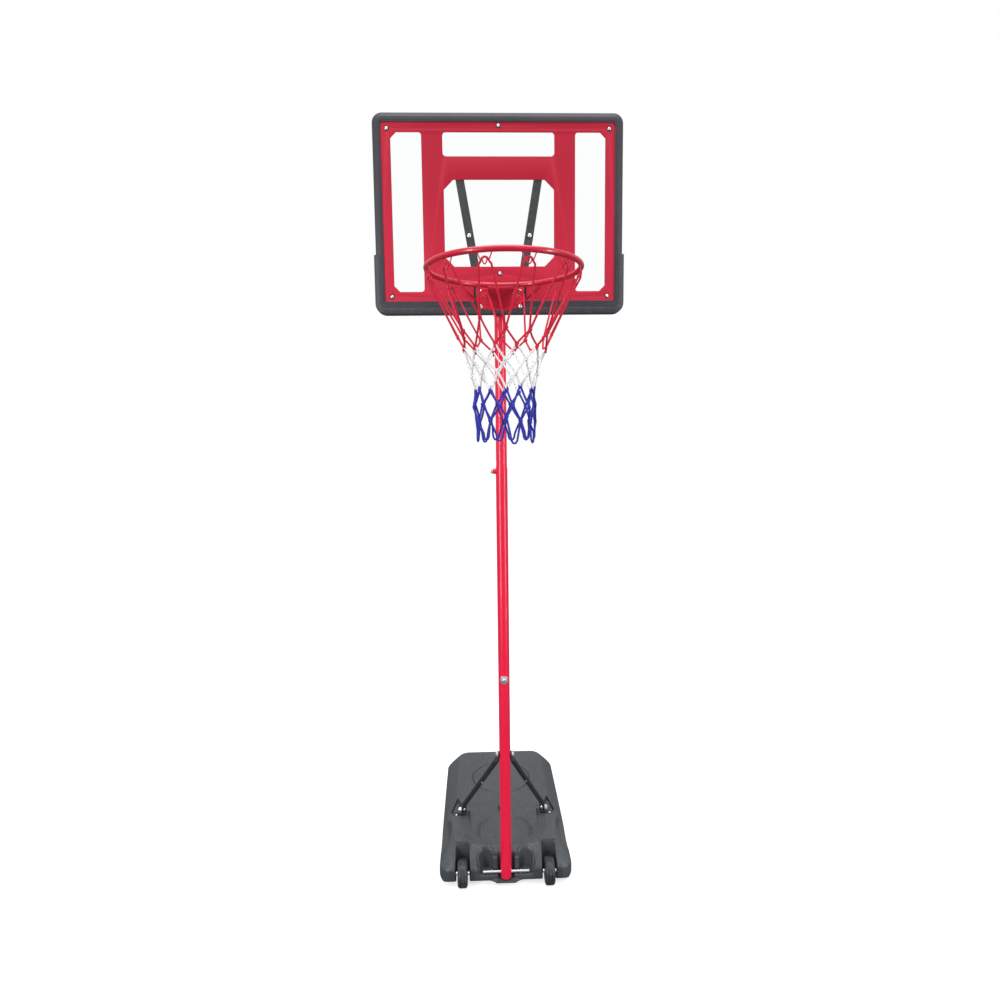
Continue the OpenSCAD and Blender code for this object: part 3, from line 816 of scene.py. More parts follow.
def deliver(obj: Thing, *nodes: str, like: str = "", slot: str = "", skin: str = "") -> Thing:
    """Dresses a finished piece and hands it to the frame.

    Args:
        obj: The piece, in place.
        nodes: The frame nodes that it stands for.
        like: A node whose body it rides on, when it stands for none.
        slot: The material slot, when it isn't that node's own.
        skin: The yarn or other finish, when it isn't the slot's own.

    Returns:
        The piece.
    """
    guide = nodes[0] if nodes else like
    chosen = slot or SLOTS[guide]
    if not obj.data.materials:
        obj.data.materials.append(finish(skin or chosen))
    obj["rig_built"] = True
    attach(obj, BODIES[guide])
    if nodes:
        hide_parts(*nodes)
    log.info("%s: %d faces on %s, %s", obj.name, len(obj.data.polygons), BODIES[guide], chosen)
    return obj


def piece(name: str, shell: Shell, *nodes: str, like: str = "", slot: str = "", angle: float = 38) -> Thing:
    """Makes a piece from a shell, shades it and delivers it."""
    obj = linked(name, shell.mesh(name))
    smooth(obj.data, angle)
    return deliver(obj, *nodes, like=like, slot=slot)


def keep(node: str) -> None:
    """Keeps a frame node as it is and gives it its slot's finish."""
    data = frame["nodes"][node].data
    data.materials.clear()
    data.materials.append(finish(SLOTS[node]))
    log.info("%s: kept from the frame", node)


class Field(Enum):
    """The kinds of socket that a repeat's inputs use."""

    NUMBER = "NodeSocketFloat"
    COUNT = "NodeSocketInt"
    SHAPE = "NodeSocketGeometry"
    THING = "NodeSocketObject"
    FINISH = "NodeSocketMaterial"
    MOVE = "NodeSocketVector"


class Repeat:
    """A Geometry Nodes tree with named inputs, and the modifier that runs it once."""

    def __init__(self, name: str, fields: dict[str, Field]) -> None:
        """Makes the tree's sockets; the first is the mesh that it works on."""
        self.tree = bpy.data.node_groups.new(name, "GeometryNodeTree")
        self.sockets: dict[str, str] = {}
        shape = Field.SHAPE.value
        self.tree.interface.new_socket("Geometry", in_out="INPUT", socket_type=shape)
        for label, kind in fields.items():
            made = self.tree.interface.new_socket(label, in_out="INPUT", socket_type=kind.value)
            self.sockets[label] = made.identifier
        self.tree.interface.new_socket("Geometry", in_out="OUTPUT", socket_type=shape)
        self.start = self.tree.nodes.new("NodeGroupInput")

    def input(self, label: str) -> Socket:
        """One of the tree's named inputs."""
        return self.start.outputs[label]

    def node(self, kind: str, settings: dict | None = None, inputs: dict | None = None,
             output: int | str = 0) -> Socket:
        """Makes a node, sets its properties and sockets, and returns one output."""
        made = self.tree.nodes.new(kind)
        for key, value in (settings or {}).items():
            setattr(made, key, value)
        for key, value in (inputs or {}).items():
            for one in value if isinstance(value, list) else [value]:
                if isinstance(one, Socket):
                    self.tree.links.new(one, made.inputs[key])
                else:
                    made.inputs[key].default_value = one
        return made.outputs[output]

    def thing(self, label: str) -> Socket:
        """The mesh of an object that a named input gives."""
        return self.node("GeometryNodeObjectInfo", inputs={"Object": self.input(label)}, output="Geometry")

    def copies(self, points: Socket, template: Socket, spin: object) -> Socket:
        """Copies of a template on marked points, each spun by chance about its own axis.

        Args:
            points: Points that carry a turn.
            template: The shape that is copied.
            spin: The largest chance turn.

        Returns:
            The copies as instances.
        """
        turn = self.node("GeometryNodeInputNamedAttribute", {"data_type": "FLOAT_VECTOR"}, {"Name": "turn"})
        rotation = self.node("FunctionNodeEulerToRotation", inputs={0: turn})
        placed = self.node("GeometryNodeInstanceOnPoints", inputs={
            "Points": points, "Instance": template, "Rotation": rotation})
        chance = self.node("FunctionNodeRandomValue", {"data_type": "FLOAT"}, {
            2: 0.0, 3: spin, "Seed": self.input("Seed")}, output=1)
        about = self.node("ShaderNodeCombineXYZ", inputs={2: chance})
        return self.node("GeometryNodeRotateInstances", inputs={"Instances": placed, "Rotation": about})

    def finished(self, shape: Socket) -> Repeat:
        """Ends the tree: real faces, and the finish on all of them."""
        real = self.node("GeometryNodeRealizeInstances", inputs={0: shape})
        painted = self.node("GeometryNodeSetMaterial",
                            inputs={"Geometry": real, "Material": self.input("Finish")})
        end = self.tree.nodes.new("NodeGroupOutput")
        self.tree.links.new(painted, end.inputs[0])
        return self

    def run(self, obj: Thing, **values: object) -> Thing:
        """Runs the tree on an object and leaves a plain mesh.

        Args:
            obj: The object whose mesh it works on.
            values: The inputs by name, with spaces as underscores.

        Returns:
            The same object.
        """
        modifier = obj.modifiers.new(self.tree.name, "NODES")
        modifier.node_group = self.tree
        for label, value in values.items():
            modifier[self.sockets[label.replace("_", " ")]] = value
        baked(obj)
        return obj


def scatter_tree() -> Repeat:
    """Copies of a template on marked points, each spun by chance about its own axis."""
    made = Repeat("scatter", {"Template": Field.THING, "Spin": Field.NUMBER, "Seed": Field.COUNT,
                              "Finish": Field.FINISH})
    return made.finished(made.copies(made.input("Geometry"), made.thing("Template"), made.input("Spin")))


def wheel_array_tree() -> Repeat:
    """The object's own mesh joined with copies of a template set round an X axis."""
    made = Repeat("wheel array", {"Template": Field.THING, "Count": Field.COUNT, "Radius": Field.NUMBER,
                                  "Centre": Field.MOVE, "Finish": Field.FINISH})
    ring = made.node("GeometryNodeMeshCircle", inputs={
        "Vertices": made.input("Count"), "Radius": made.input("Radius")})
    where = made.node("GeometryNodeInputPosition")
    facing = made.node("FunctionNodeAlignRotationToVector", {"axis": "X"}, {"Vector": where})
    placed = made.node("GeometryNodeInstanceOnPoints", inputs={
        "Points": ring, "Instance": made.thing("Template"), "Rotation": facing})
    real = made.node("GeometryNodeRealizeInstances", inputs={0: placed})
    stood = made.node("GeometryNodeTransform", inputs={
        "Geometry": real, "Rotation": (0.0, math.pi / 2, 0.0), "Translation": made.input("Centre")})
    both = made.node("GeometryNodeJoinGeometry", inputs={0: [made.input("Geometry"), stood]})
    return made.finished(both)


def yarn_tree() -> Repeat:
    """Cords along every edge path of a mesh, and a knot of the same cord at every marked point."""
    made = Repeat("yarn", {"Knots": Field.THING, "Knot Path": Field.THING, "Thickness": Field.NUMBER,
                           "Sides": Field.COUNT, "Seed": Field.COUNT, "Finish": Field.FINISH})
    spun = made.copies(made.thing("Knots"), made.thing("Knot Path"), TURN)
    real = made.node("GeometryNodeRealizeInstances", inputs={0: spun})
    lines = made.node("GeometryNodeJoinGeometry", inputs={0: [made.input("Geometry"), real]})
    curves = made.node("GeometryNodeMeshToCurve", inputs={"Mesh": lines})
    length = made.node("GeometryNodeSplineParameter", output="Length")
    marked = made.node("GeometryNodeStoreNamedAttribute", {"data_type": "FLOAT", "domain": "POINT"}, {
        "Geometry": curves, "Name": "along", "Value": length})
    section = made.node("GeometryNodeCurvePrimitiveCircle", inputs={
        "Resolution": made.input("Sides"), "Radius": made.input("Thickness")})
    where = made.node("GeometryNodeInputPosition")
    wrapped = made.node("GeometryNodeStoreNamedAttribute", {"data_type": "FLOAT_VECTOR", "domain": "POINT"}, {
        "Geometry": section, "Name": "around", "Value": where})
    swept = made.node("GeometryNodeCurveToMesh", inputs={"Curve": marked, "Profile Curve": wrapped,
                                                         "Fill Caps": True})
    return made.finished(swept)


REPEATS: dict[str, Repeat] = {}


def repeat(kind: Callable[[], Repeat]) -> Repeat:
    """A repeat's tree, made once."""
    if kind.__name__ not in REPEATS:
        REPEATS[kind.__name__] = kind()
    return REPEATS[kind.__name__]


def marks(name: str, spots: Rows, directions: Rows,
          upright: Rows | None = None) -> Thing:
    """A mesh of loose points, each with the turn that takes a template's Z to its direction.

    Args:
        name: The object's name.
        spots: The points in millimetres.
        directions: Where each template's Z goes, or one direction for all.
        upright: Where each template's X goes, where that matters.

    Returns:
        The object that holds the points.
    """
    mesh = bpy.data.meshes.new(name)
    mesh.from_pydata((np.array(spots, float) * MM).tolist(), [], [])
    turn = mesh.attributes.new("turn", "FLOAT_VECTOR", "POINT")
    for i, direction in enumerate(np.broadcast_to(directions, (len(spots), 3))):
        z = Vector(direction).normalized()
        if upright is None:
            rotation = z.to_track_quat("Z", "Y").to_matrix()
        else:
            x = Vector(upright[i])
            x = (x - z * x.dot(z)).normalized()
            rotation = Matrix((x, z.cross(x), z)).transposed()
        turn.data[i].vector = rotation.to_euler()
    return linked(name, mesh)


def scattered(name: str, template: Shell, spots: Rows, directions: Rows,
              *nodes: str, like: str = "", slot: str = "", spin: float = 0.0, seed: int = 1,
              upright: Rows | None = None) -> Thing:
    """One piece made of copies of a template.

    Args:
        name: The piece's name.
        template: The shape, drawn at the origin with Z as its axis.
        spots: Where the copies go, in millimetres.
        directions: Where each copy's Z points, or one direction for all.
        nodes: The frame nodes that it stands for.
        like: A node whose body it rides on, when it stands for none.
        slot: The material slot, when it isn't that node's own.
        spin: The largest chance turn about its own axis, in radians.
        seed: The seed of those turns.
        upright: Where each copy's X points.

    Returns:
        The piece.
    """
    model = linked("template", template.mesh("template"))
    obj = marks(name, spots, directions, upright)
    guide = nodes[0] if nodes else like
    repeat(scatter_tree).run(obj, Template=model, Spin=spin, Seed=seed, Finish=finish(slot or SLOTS[guide]))
    bpy.data.objects.remove(model)
    smooth(obj.data)
    return deliver(obj, *nodes, like=like, slot=slot)


# ---- fasteners


def hexagon(radius: float, height: float, base: float = 0.0, bore: float = 0.0) -> Shell:
    """A hexagonal head or nut with its corners turned down, from base upwards.

    Args:
        radius: To a corner.
        height: From its seat to its top.
        base: The height of its seat.
        bore: The radius of the hole through a nut, or zero for a solid head.

    Returns:
        The shell.
    """
    angles = np.arange(36) * TURN / 36
    flat = radius * math.cos(math.pi / 6)
    corner = flat / np.cos((angles + math.pi / 6) % (math.pi / 3) - math.pi / 6)
    turned_down = [(0.0, 0.94), (0.06, 1.0)] if bore else [(0.0, 1.0)]
    turned_down += [(0.78, 1.0), (0.88, 0.955), (1.0, 0.885)]
    loops = []
    for level, share in turned_down:
        reach = np.minimum(corner, radius * share)
        loops.append(np.column_stack([reach * np.cos(angles), reach * np.sin(angles),
                                      np.full(36, base + level * height)]))
    if bore:
        circle = np.column_stack([bore * np.cos(angles), bore * np.sin(angles), np.zeros(36)])
        loops += [circle + [0, 0, base + level * height] for level in (1.0, 0.0)]
        return Shell().bridge(loops, around=True)
    return Shell().bridge(loops)


def washer(radius: float, bore: float, height: float, base: float = 0.0, shell: Shell | None = None) -> Shell:
    """A flat washer with soft edges, from base upwards."""
    soft = min(0.4, height * 0.4)
    outline = [(bore, base), (radius - soft, base), (radius, base + soft), (radius, base + height - soft),
               (radius - soft, base + height), (bore, base + height)]
    return (shell or Shell()).turned(outline, 36, closed=True)


def bolt_head(radius: float, height: float, plate: float = 0.0, plate_height: float = 1.2) -> Shell:
    """A hexagonal head that sits on a washer."""
    shell = hexagon(radius, height - (plate_height if plate else 0), plate_height if plate else 0)
    return washer(plate, 1.0, plate_height, 0.0, shell) if plate else shell


def pan_head(radius: float, height: float) -> Shell:
    """A low domed screw head whose middle dips where the driver goes."""
    rim = height * 0.35
    outline = [(0.0, 0.0), (radius, 0.0), (radius, rim)]
    outline += [(r, rim + h) for r, h in ball_end(radius, height - rim, 6)[1:-2]]
    outline += [(radius * 0.36, height * 0.97), (radius * 0.3, height * 0.9), (radius * 0.22, height * 0.55),
                (0.0, height * 0.5)]
    return Shell().turned(outline, 32)


def pin(radius: float, length: float, tip: float = 0.8, shell: Shell | None = None,
        base: float = 0.0) -> Shell:
    """A round shank that goes down from its head and ends in a small chamfer."""
    outline = [(0.0, base), (radius, base), (radius, base - length + tip), (radius - tip, base - length),
               (0.0, base - length)]
    return (shell or Shell()).turned(outline, 24)


def threaded(radius: float, length: float, thread: float, shell: Shell | None = None) -> Shell:
    """A shank whose last stretch has ring-shaped threads."""
    pitch, depth = 1.25, 0.35
    turns = int(thread / pitch)
    outline = [(0.0, 0.0), (radius, 0.0), (radius, thread - length)]
    for k in range(turns):
        z = thread - length - pitch * (k + 0.5)
        outline += [(radius - depth, z + pitch * 0.25), (radius, z - pitch * 0.25)]
    outline += [(radius - 1.0, -length), (0.0, -length)]
    return (shell or Shell()).turned(outline, 20)


# ---- the base


def larger(a: Array, b: Array, bend: float) -> Array:
    """The larger of two fields, with the edge between them rounded over a width."""
    near = np.maximum(bend - np.abs(a - b), 0) / bend
    return np.maximum(a, b) + near * near * bend * 0.25


def without(a: Array, b: Array, bend: float) -> Array:
    """The first field with the second taken away."""
    return larger(a, -b, bend)


def step(value: Array) -> Array:
    """A smooth step from 0 to 1."""
    share = np.clip(value, 0, 1)
    return share * share * (3 - 2 * share)


def bead(distance: Array, width: float) -> Array:
    """A soft ridge across a line."""
    return np.exp(-((distance / width) ** 2))


@dataclass
class Tank:
    """The moulded base: a skirt, sloping shoulders, wheel slots, cups, pockets and pressed lines."""

    half_width: float = field(default_factory=lambda: float(node_box("base_tank")[1][0]))
    top: float = field(default_factory=lambda: float(node_box("base_tank")[1][2]))
    half_length: float = field(default_factory=lambda: float(node_box("base_tank")[1][1]))
    skirt_low: float = 24.0
    skirt_high: float = 64.0
    foot_inset: float = 35.0
    shoulder: float = 58.0
    back_slope: float = 20.0
    corner: float = 45.0
    slot_middle: float = field(default_factory=lambda: float(node_middle("tyre_right")[0]))
    slot_half: float = 25.0
    cup: Triple = (72.0, 26.0, 44.0)
    channel: tuple[float, float] = (30.0, 27.0)
    ring: tuple[float, float] = (136.0, 124.0)
    ring_line: tuple[float, float] = (5.6, 3.2)
    arch_y: float = -254.0
    arches: tuple[float, float] = (104.0, 95.0)
    arch_line: tuple[float, float] = (4.4, 2.7)
    lip: float = 2.9
    slot_lip: float = 3.9
    cup_lip: float = 4.4
    filler: tuple[float, float, float] = (-105.0, 16.4, 49.6)
    cell: float = 2.6
    faces: int = 150000

    def skin(self, x: Array, y: Array, z: Array) -> Array:
        """How far points are outside the base; negative inside.

        Args:
            x: Across, in millimetres.
            y: Along, in millimetres.
            z: Up, in millimetres; the three broadcast together.

        Returns:
            The field, close to a distance near the surface.
        """
        side = np.abs(x)
        front = -y
        rise = z - self.skirt_high
        climbed = ((rise + np.sqrt(rise * rise + 30)) / 2 / (self.top - self.skirt_high)) ** 1.18
        reach_x = self.half_width - self.shoulder * climbed
        reach_front = self.half_length - (self.shoulder - 1) * climbed
        reach_back = self.half_length - self.back_slope * climbed
        out_x = side - reach_x + self.corner
        out_y = np.abs(y - (reach_back - reach_front) / 2) - (reach_front + reach_back) / 2 + self.corner
        form = np.hypot(np.maximum(out_x, 0), np.maximum(out_y, 0)) + np.minimum(np.maximum(out_x, out_y), 0)
        form = (form - self.corner) * 0.8

        # a fuller front between the wheel slots, where the cups are
        fuller = larger((z - self.top) * 0.839 + (front - 331) * 0.545,
                        larger(side - 106, front - 386.5, 12), 10)
        fuller = larger(larger(fuller, 62 - z + 0 * x, 4), y + 300, 4)
        form = -larger(-form, -fuller, 10)
        form = larger(form, z - self.top + 0 * x, 6)
        for outward, limit in ((side, self.half_width), (front, self.half_length), (y, self.half_length)):
            under = ((outward - limit) * self.skirt_low - (z - self.skirt_low) * self.foot_inset)
            form = larger(form, under / math.hypot(self.skirt_low, self.foot_inset), 6)
        form = larger(form, -z + 0 * x, 4)

        # shallow hand scoops in the shoulders and a valley in front of each strut's pocket
        scoop = np.sqrt(((side - 264) / 58) ** 2 + ((y + 205) / 118) ** 2 + ((z - 104) / 58) ** 2)
        form = without(form, (scoop - 1) * 50, 3)
        floor = self.top - 17 * np.clip((y + 285) / 160, 0, 1)
        valley = np.maximum(np.maximum(131 + (y + 275) * 0.02 - side, y + 110),
                            np.maximum(-(y + 275), floor - z))
        form = without(form, valley, 7)
        pocket = larger(larger(np.abs(side - 186) - 36, np.abs(y + 99) - 20, 10), 100 - z, 3)
        form = without(form, pocket, 5)
        behind = larger(np.abs(side - 186) - 24 * (1 - (y + 79) / 60), -(y + 82), 6)
        form = without(form, larger(behind, 91 + 0.42 * (y + 79) - z, 3), 4)

        # lines pressed into the flat top
        flat = step((z - self.top + 14) / 8)
        ring_y, radius = self.ring
        depth, width = self.ring_line
        form = form + flat * depth * bead(np.hypot(x, y - ring_y) - radius, width)
        arch = np.where(y > self.arch_y, np.hypot(x, y - self.arch_y), side)
        ends = step((y + 305) / 20)
        depth, width = self.arch_line
        for radius in self.arches:
            form = form - flat * ends * depth * bead(arch - radius, width)

        # slots, cups and the channel for the pole's foot, each with a raised lip
        high = step((z - 58) / 12)
        slot = larger(np.abs(side - self.slot_middle) - self.slot_half, y + 321, 4)
        form = form - high * self.slot_lip * bead(slot - 4.5, self.lip)
        sill_bar = larger(larger(np.abs(side - self.slot_middle) - 27, np.abs(y + 315.5) - 5, 3),
                          np.abs(z - self.top) - 6.5, 3)
        form = -larger(-form, -sill_bar, 3)
        form = without(form, slot + 0 * z, 4)
        cup_x, cup_r, cup_floor = self.cup
        cup = np.hypot(side - cup_x, y + 373) - cup_r
        form = form - high * self.cup_lip * bead(cup - 4.5, self.lip)
        form = without(form, larger(cup, cup_floor - z, 6), 4)
        half, sill = self.channel
        ledge = larger(larger(side - cup_x + 12, y + 362, 8), 100 - z, 3)
        form = without(form, ledge, 5)
        channel = larger(larger(side - half, y + 357, 6), sill - z, 2)
        form = without(form, channel, 4)
        open_front = larger(larger(side - 88, y + 371.5, 4), 45.5 - z, 3)
        form = without(form, open_front, 4)

        # the lip in front of the pole's foot, the filler hole and panels under the base
        lip = np.maximum(np.abs(z - 23.5) - 3.5, np.maximum(front - 400, 372 - front))
        lip = np.maximum(lip, ((side - 52) * 14 + (front - 386) * 18) / 22.8)
        form = -larger(-form, -lip, 3)
        filler_y, bore, deep = self.filler
        filler = larger(np.hypot(x, y - filler_y) - bore, deep - z, 1.5)
        form = without(form, filler, 1.5)
        under = larger(larger(np.abs(side - 95) - 78, np.abs(y - 30) - 270, 30), z - 4, 3)
        return without(form, under, 4)

    def net_of(self, values: Array, origin: Array) -> tuple[Array, Array]:
        """A surface net: one point in each grid cell that the surface crosses, joined by quads.

        Args:
            values: The field on the grid.
            origin: The grid's lowest corner.

        Returns:
            Points in millimetres and quads.
        """
        shape = np.array(values.shape) - 1
        total = np.zeros((*shape, 3), np.float32)
        hits = np.zeros(shape, np.int32)
        crossings = []
        for axis in range(3):
            near = np.take(values, range(shape[axis]), axis)
            far = np.take(values, range(1, shape[axis] + 1), axis)
            i, j, k = np.nonzero((near < 0) != (far < 0))
            a, b = near[i, j, k], far[i, j, k]
            point = np.stack([i, j, k], 1).astype(np.float32)
            point[:, axis] += a / (a - b)
            crossings.append((axis, i, j, k, a < 0))
            u, v = [other for other in range(3) if other != axis]
            for du in (0, 1):
                for dv in (0, 1):
                    cell = np.stack([i, j, k], 1)
                    cell[:, u] -= du
                    cell[:, v] -= dv
                    fine = np.all((cell >= 0) & (cell < shape), 1)
                    where = tuple(cell[fine].T)
                    np.add.at(total, where, point[fine])
                    np.add.at(hits, where, 1)
        used = hits > 0
        number = np.full(shape, -1)
        number[used] = np.arange(int(used.sum()))
        points = total[used] / hits[used][:, None] * self.cell + origin
        quads = []
        for axis, i, j, k, rising in crossings:
            u, v = [(1, 2), (2, 0), (0, 1)][axis]
            corners = []
            for du, dv in ((1, 1), (0, 1), (0, 0), (1, 0)):
                cell = np.stack([i, j, k], 1)
                cell[:, u] -= du
                cell[:, v] -= dv
                corners.append(number[tuple(np.clip(cell, 0, shape - 1).T)])
            quad = np.stack(corners, 1)
            quads.append(np.where(rising[:, None], quad, quad[:, ::-1]))
        return points, np.concatenate(quads)

    def build(self) -> None:
        """Makes the base: the net of its field, drawn onto the exact surface and thinned."""
        low = np.array([-self.half_width - 6, -self.half_length - 20, -6])
        high = np.array([self.half_width + 6, self.half_length + 6, self.top + 10])
        size = np.ceil((high - low) / self.cell).astype(int) + 1
        grid = [low[a] + self.cell * np.arange(size[a], dtype=np.float32) for a in range(3)]
        values = self.skin(grid[0][:, None, None], grid[1][None, :, None], grid[2][None, None, :])
        points, quads = self.net_of(values.astype(np.float32), low)
        points = points.astype(float)
        h = 0.3
        for _ in range(4):
            here = self.skin(*points.T)
            slope = np.stack([(self.skin(*(points + shift).T) - self.skin(*(points - shift).T)) / (2 * h)
                              for shift in h * np.eye(3)], 1)
            move = here[:, None] * slope / np.maximum((slope**2).sum(1, keepdims=True), 0.2)
            points -= np.clip(move, -1.2, 1.2)
        mesh = bpy.data.meshes.new("tank")
        mesh.from_pydata((points * MM).tolist(), [], quads.tolist())
        obj = linked("tank", mesh)
        thin = obj.modifiers.new("thin", "DECIMATE")
        thin.ratio = min(1.0, self.faces / (2 * len(quads)))
        baked(obj)
        tidy = bmesh.new()
        tidy.from_mesh(obj.data)
        bmesh.ops.recalc_face_normals(tidy, faces=tidy.faces)
        tidy.to_mesh(obj.data)
        tidy.free()
        smooth(obj.data, 50)
        deliver(obj, "base_tank")


@dataclass
class Ballast:
    """What fills and closes the base: the sand, the filler cap and its seal."""

    grips: int = 20

    def build(self) -> None:
        """Keeps the sand and makes the cap and the seal."""
        keep("ballast_sand")
        middle = node_middle("fill_cap")
        top = float(node_box("fill_cap")[1][2])
        x, y = float(middle[0]), float(middle[1])
        outline = [(0, top - 3), (11.5, top - 3), (12.8, top - 2.4), (13.2, top - 0.8), (14.0, top),
                   (16.6, top), (17.7, top - 1), (18.0, top - 2.4), (18.0, top - 6.6), (17.6, top - 7),
                   (16, top - 7), (16, top - 16.5), (15.2, top - 18), (13, top - 18), (13, top - 8),
                   (0, top - 8)]
        shell = Shell().turned(outline, 64, centre=(x, y, 0))
        shell.sheet(window(x - 12.6, x + 12.6, y - 2, y + 2, 1.4, 3), [], 3.6, lying(top - 1.9), 0.9)
        for k in range(self.grips):
            angle = TURN * k / self.grips
            spot = (x + 17.7 * math.cos(angle), y + 17.7 * math.sin(angle))
            shell.tube(np.array([[*spot, top - 6.2], [*spot, top - 4.5], [*spot, top - 2.2]]), 0.9, 6)
        piece("filler_cap", shell, "fill_cap")
        ring_low, ring_high = node_box("cap_seal")
        seal = [(16.05, ring_low[2]), (17.6, ring_low[2]), (18.0, ring_low[2] + 0.5),
                (18.0, ring_high[2] - 0.5),
                (17.6, ring_high[2]), (16.05, ring_high[2])]
        piece("filler_seal", Shell().turned(seal, 64, closed=True, centre=(x, y, 0)), "cap_seal")


@dataclass
class Wheel:
    """One wheel: a solid tyre with moulded side ribs, and a spoked hub."""

    name: str
    radius: float = 48.0
    half: float = 17.5
    bed: float = 30.0
    bore: float = 4.05
    ribs: int = 36
    spokes: int = 8

    def build(self) -> None:
        """Makes the tyre and the hub."""
        centre = node_middle(f"tyre_{self.name}")
        crown, groove = 9.0, 1.4
        arc_end = [(self.radius - crown + crown * math.sin(a), self.half - crown + crown * math.cos(a))
                   for a in np.linspace(0, math.pi / 2, 8)]
        half_side = [(self.bed, self.half - 0.6), (self.bed + 0.6, self.half)] + arc_end
        tread = [(self.radius, 7), (self.radius - groove, 6.4), (self.radius - groove, 5), (self.radius, 4.4)]
        outline = half_side + tread + [(r, -h) for r, h in reversed(half_side + tread)]
        shell = Shell().turned(outline, 96, True, centre, TO_RIGHT)
        tyre = linked(f"tyre_{self.name}_rolling", shell.mesh("tyre"))
        rib = Shell()
        for end in SIDES:
            rib.sheet(window(-5.5, 5.5, -0.7, 0.7, 0.6, 3), [], 1.2, lying(end * self.half), 0.4)
        self.ringed(tyre, rib, self.ribs, self.radius - 13, centre, f"tyre_{self.name}")
        outline = [(self.bore, -self.half + 1), (self.bore + 1, -self.half), (11.5, -self.half),
                   (13, -self.half + 1.2),
                   (13.6, -self.half + 9), (25.4, -self.half + 9), (26, -self.half + 1), (27, -self.half),
                   (self.bed - 0.4, -self.half), (self.bed, -self.half + 0.6)]
        outline += [(r, -h) for r, h in reversed(outline)]
        shell = Shell().turned(outline, 72, True, centre, TO_RIGHT)
        hub = linked(f"hub_{self.name}_wheel", shell.mesh("hub"))
        spoke = Shell()
        for end in SIDES:
            spoke.sheet(window(-7, 7, -1.5, 1.5, 0.8, 3), [], 7.4, lying(end * (self.half - 4.9)), 0.6)
        self.ringed(hub, spoke, self.spokes, 19.5, centre, f"hub_{self.name}")

    @staticmethod
    def ringed(body: Thing, part: Shell, count: int, radius: float, centre: Array, node: str) -> None:
        """Sets copies of a part round a wheel's body and delivers the whole."""
        model = linked("template", part.mesh("template"))
        repeat(wheel_array_tree).run(body, Template=model, Count=count, Radius=radius * MM,
                                     Centre=tuple(centre * MM), Finish=finish(SLOTS[node]))
        bpy.data.objects.remove(model)
        smooth(body.data)
        deliver(body, node)


@dataclass
class RunningGear:
    """Both wheels, their axles and the collars beside them."""

    def build(self) -> None:
        """Makes every part."""
        for name in ("left", "right"):
            Wheel(name).build()
            low, high = node_box(f"wheel_axle_{name}")
            middle = (low + high) / 2
            r = (high[2] - low[2]) / 2
            ends = [(0, low[0]), (r - 1, low[0]), (r, low[0] + 1), (r, high[0] - 1), (r - 1, high[0]),
                    (0, high[0])]
            piece(f"axle_{name}", Shell().rolled(ends, 32, middle),
                  f"wheel_axle_{name}")
        shell = Shell()
        for name in ("left", "right"):
            low, high = node_box(f"tyre_{name}")
            middle = (low + high) / 2
            for end in SIDES:
                face = middle[0] + end * 21.4
                outline = [(4, face - 3.4), (6.4, face - 3.4), (7, face - 2.8), (7, face + 2.8),
                           (6.4, face + 3.4),
                           (4, face + 3.4)]
                shell.rolled(outline, 40, middle, True)
        piece("axle_collars", shell, "wheel_spacers")


# ---- the stand


@dataclass
class FootPivot:
    """The rod through the pole's foot and the two clips that keep it in."""

    def build(self) -> None:
        """Makes the rod and the clips."""
        low, high = node_box("foot_rod")
        middle = (low + high) / 2
        r = (high[2] - low[2]) / 2
        outline = [(0, low[0]), (r - 1, low[0]), (r, low[0] + 1.2)]
        for x in (low[0] + 6, high[0] - 8):
            outline += [(r, x), (r - 0.6, x + 0.4), (r - 0.6, x + 1.8), (r, x + 2.2)]
        outline += [(r, high[0] - 1.2), (r - 1, high[0]), (0, high[0])]
        piece("foot_pivot_rod", Shell().rolled(outline, 36, middle), "foot_rod")
        shell = Shell()
        for side in SIDES:
            x = side * 52
            outline = [(5, x - 1), (8.4, x - 1), (9, x - 0.5), (9, x + 0.5), (8.4, x + 1), (5, x + 1)]
            shell.rolled(outline, 36, middle, True)
        piece("foot_pivot_clips", shell, "rod_clips")


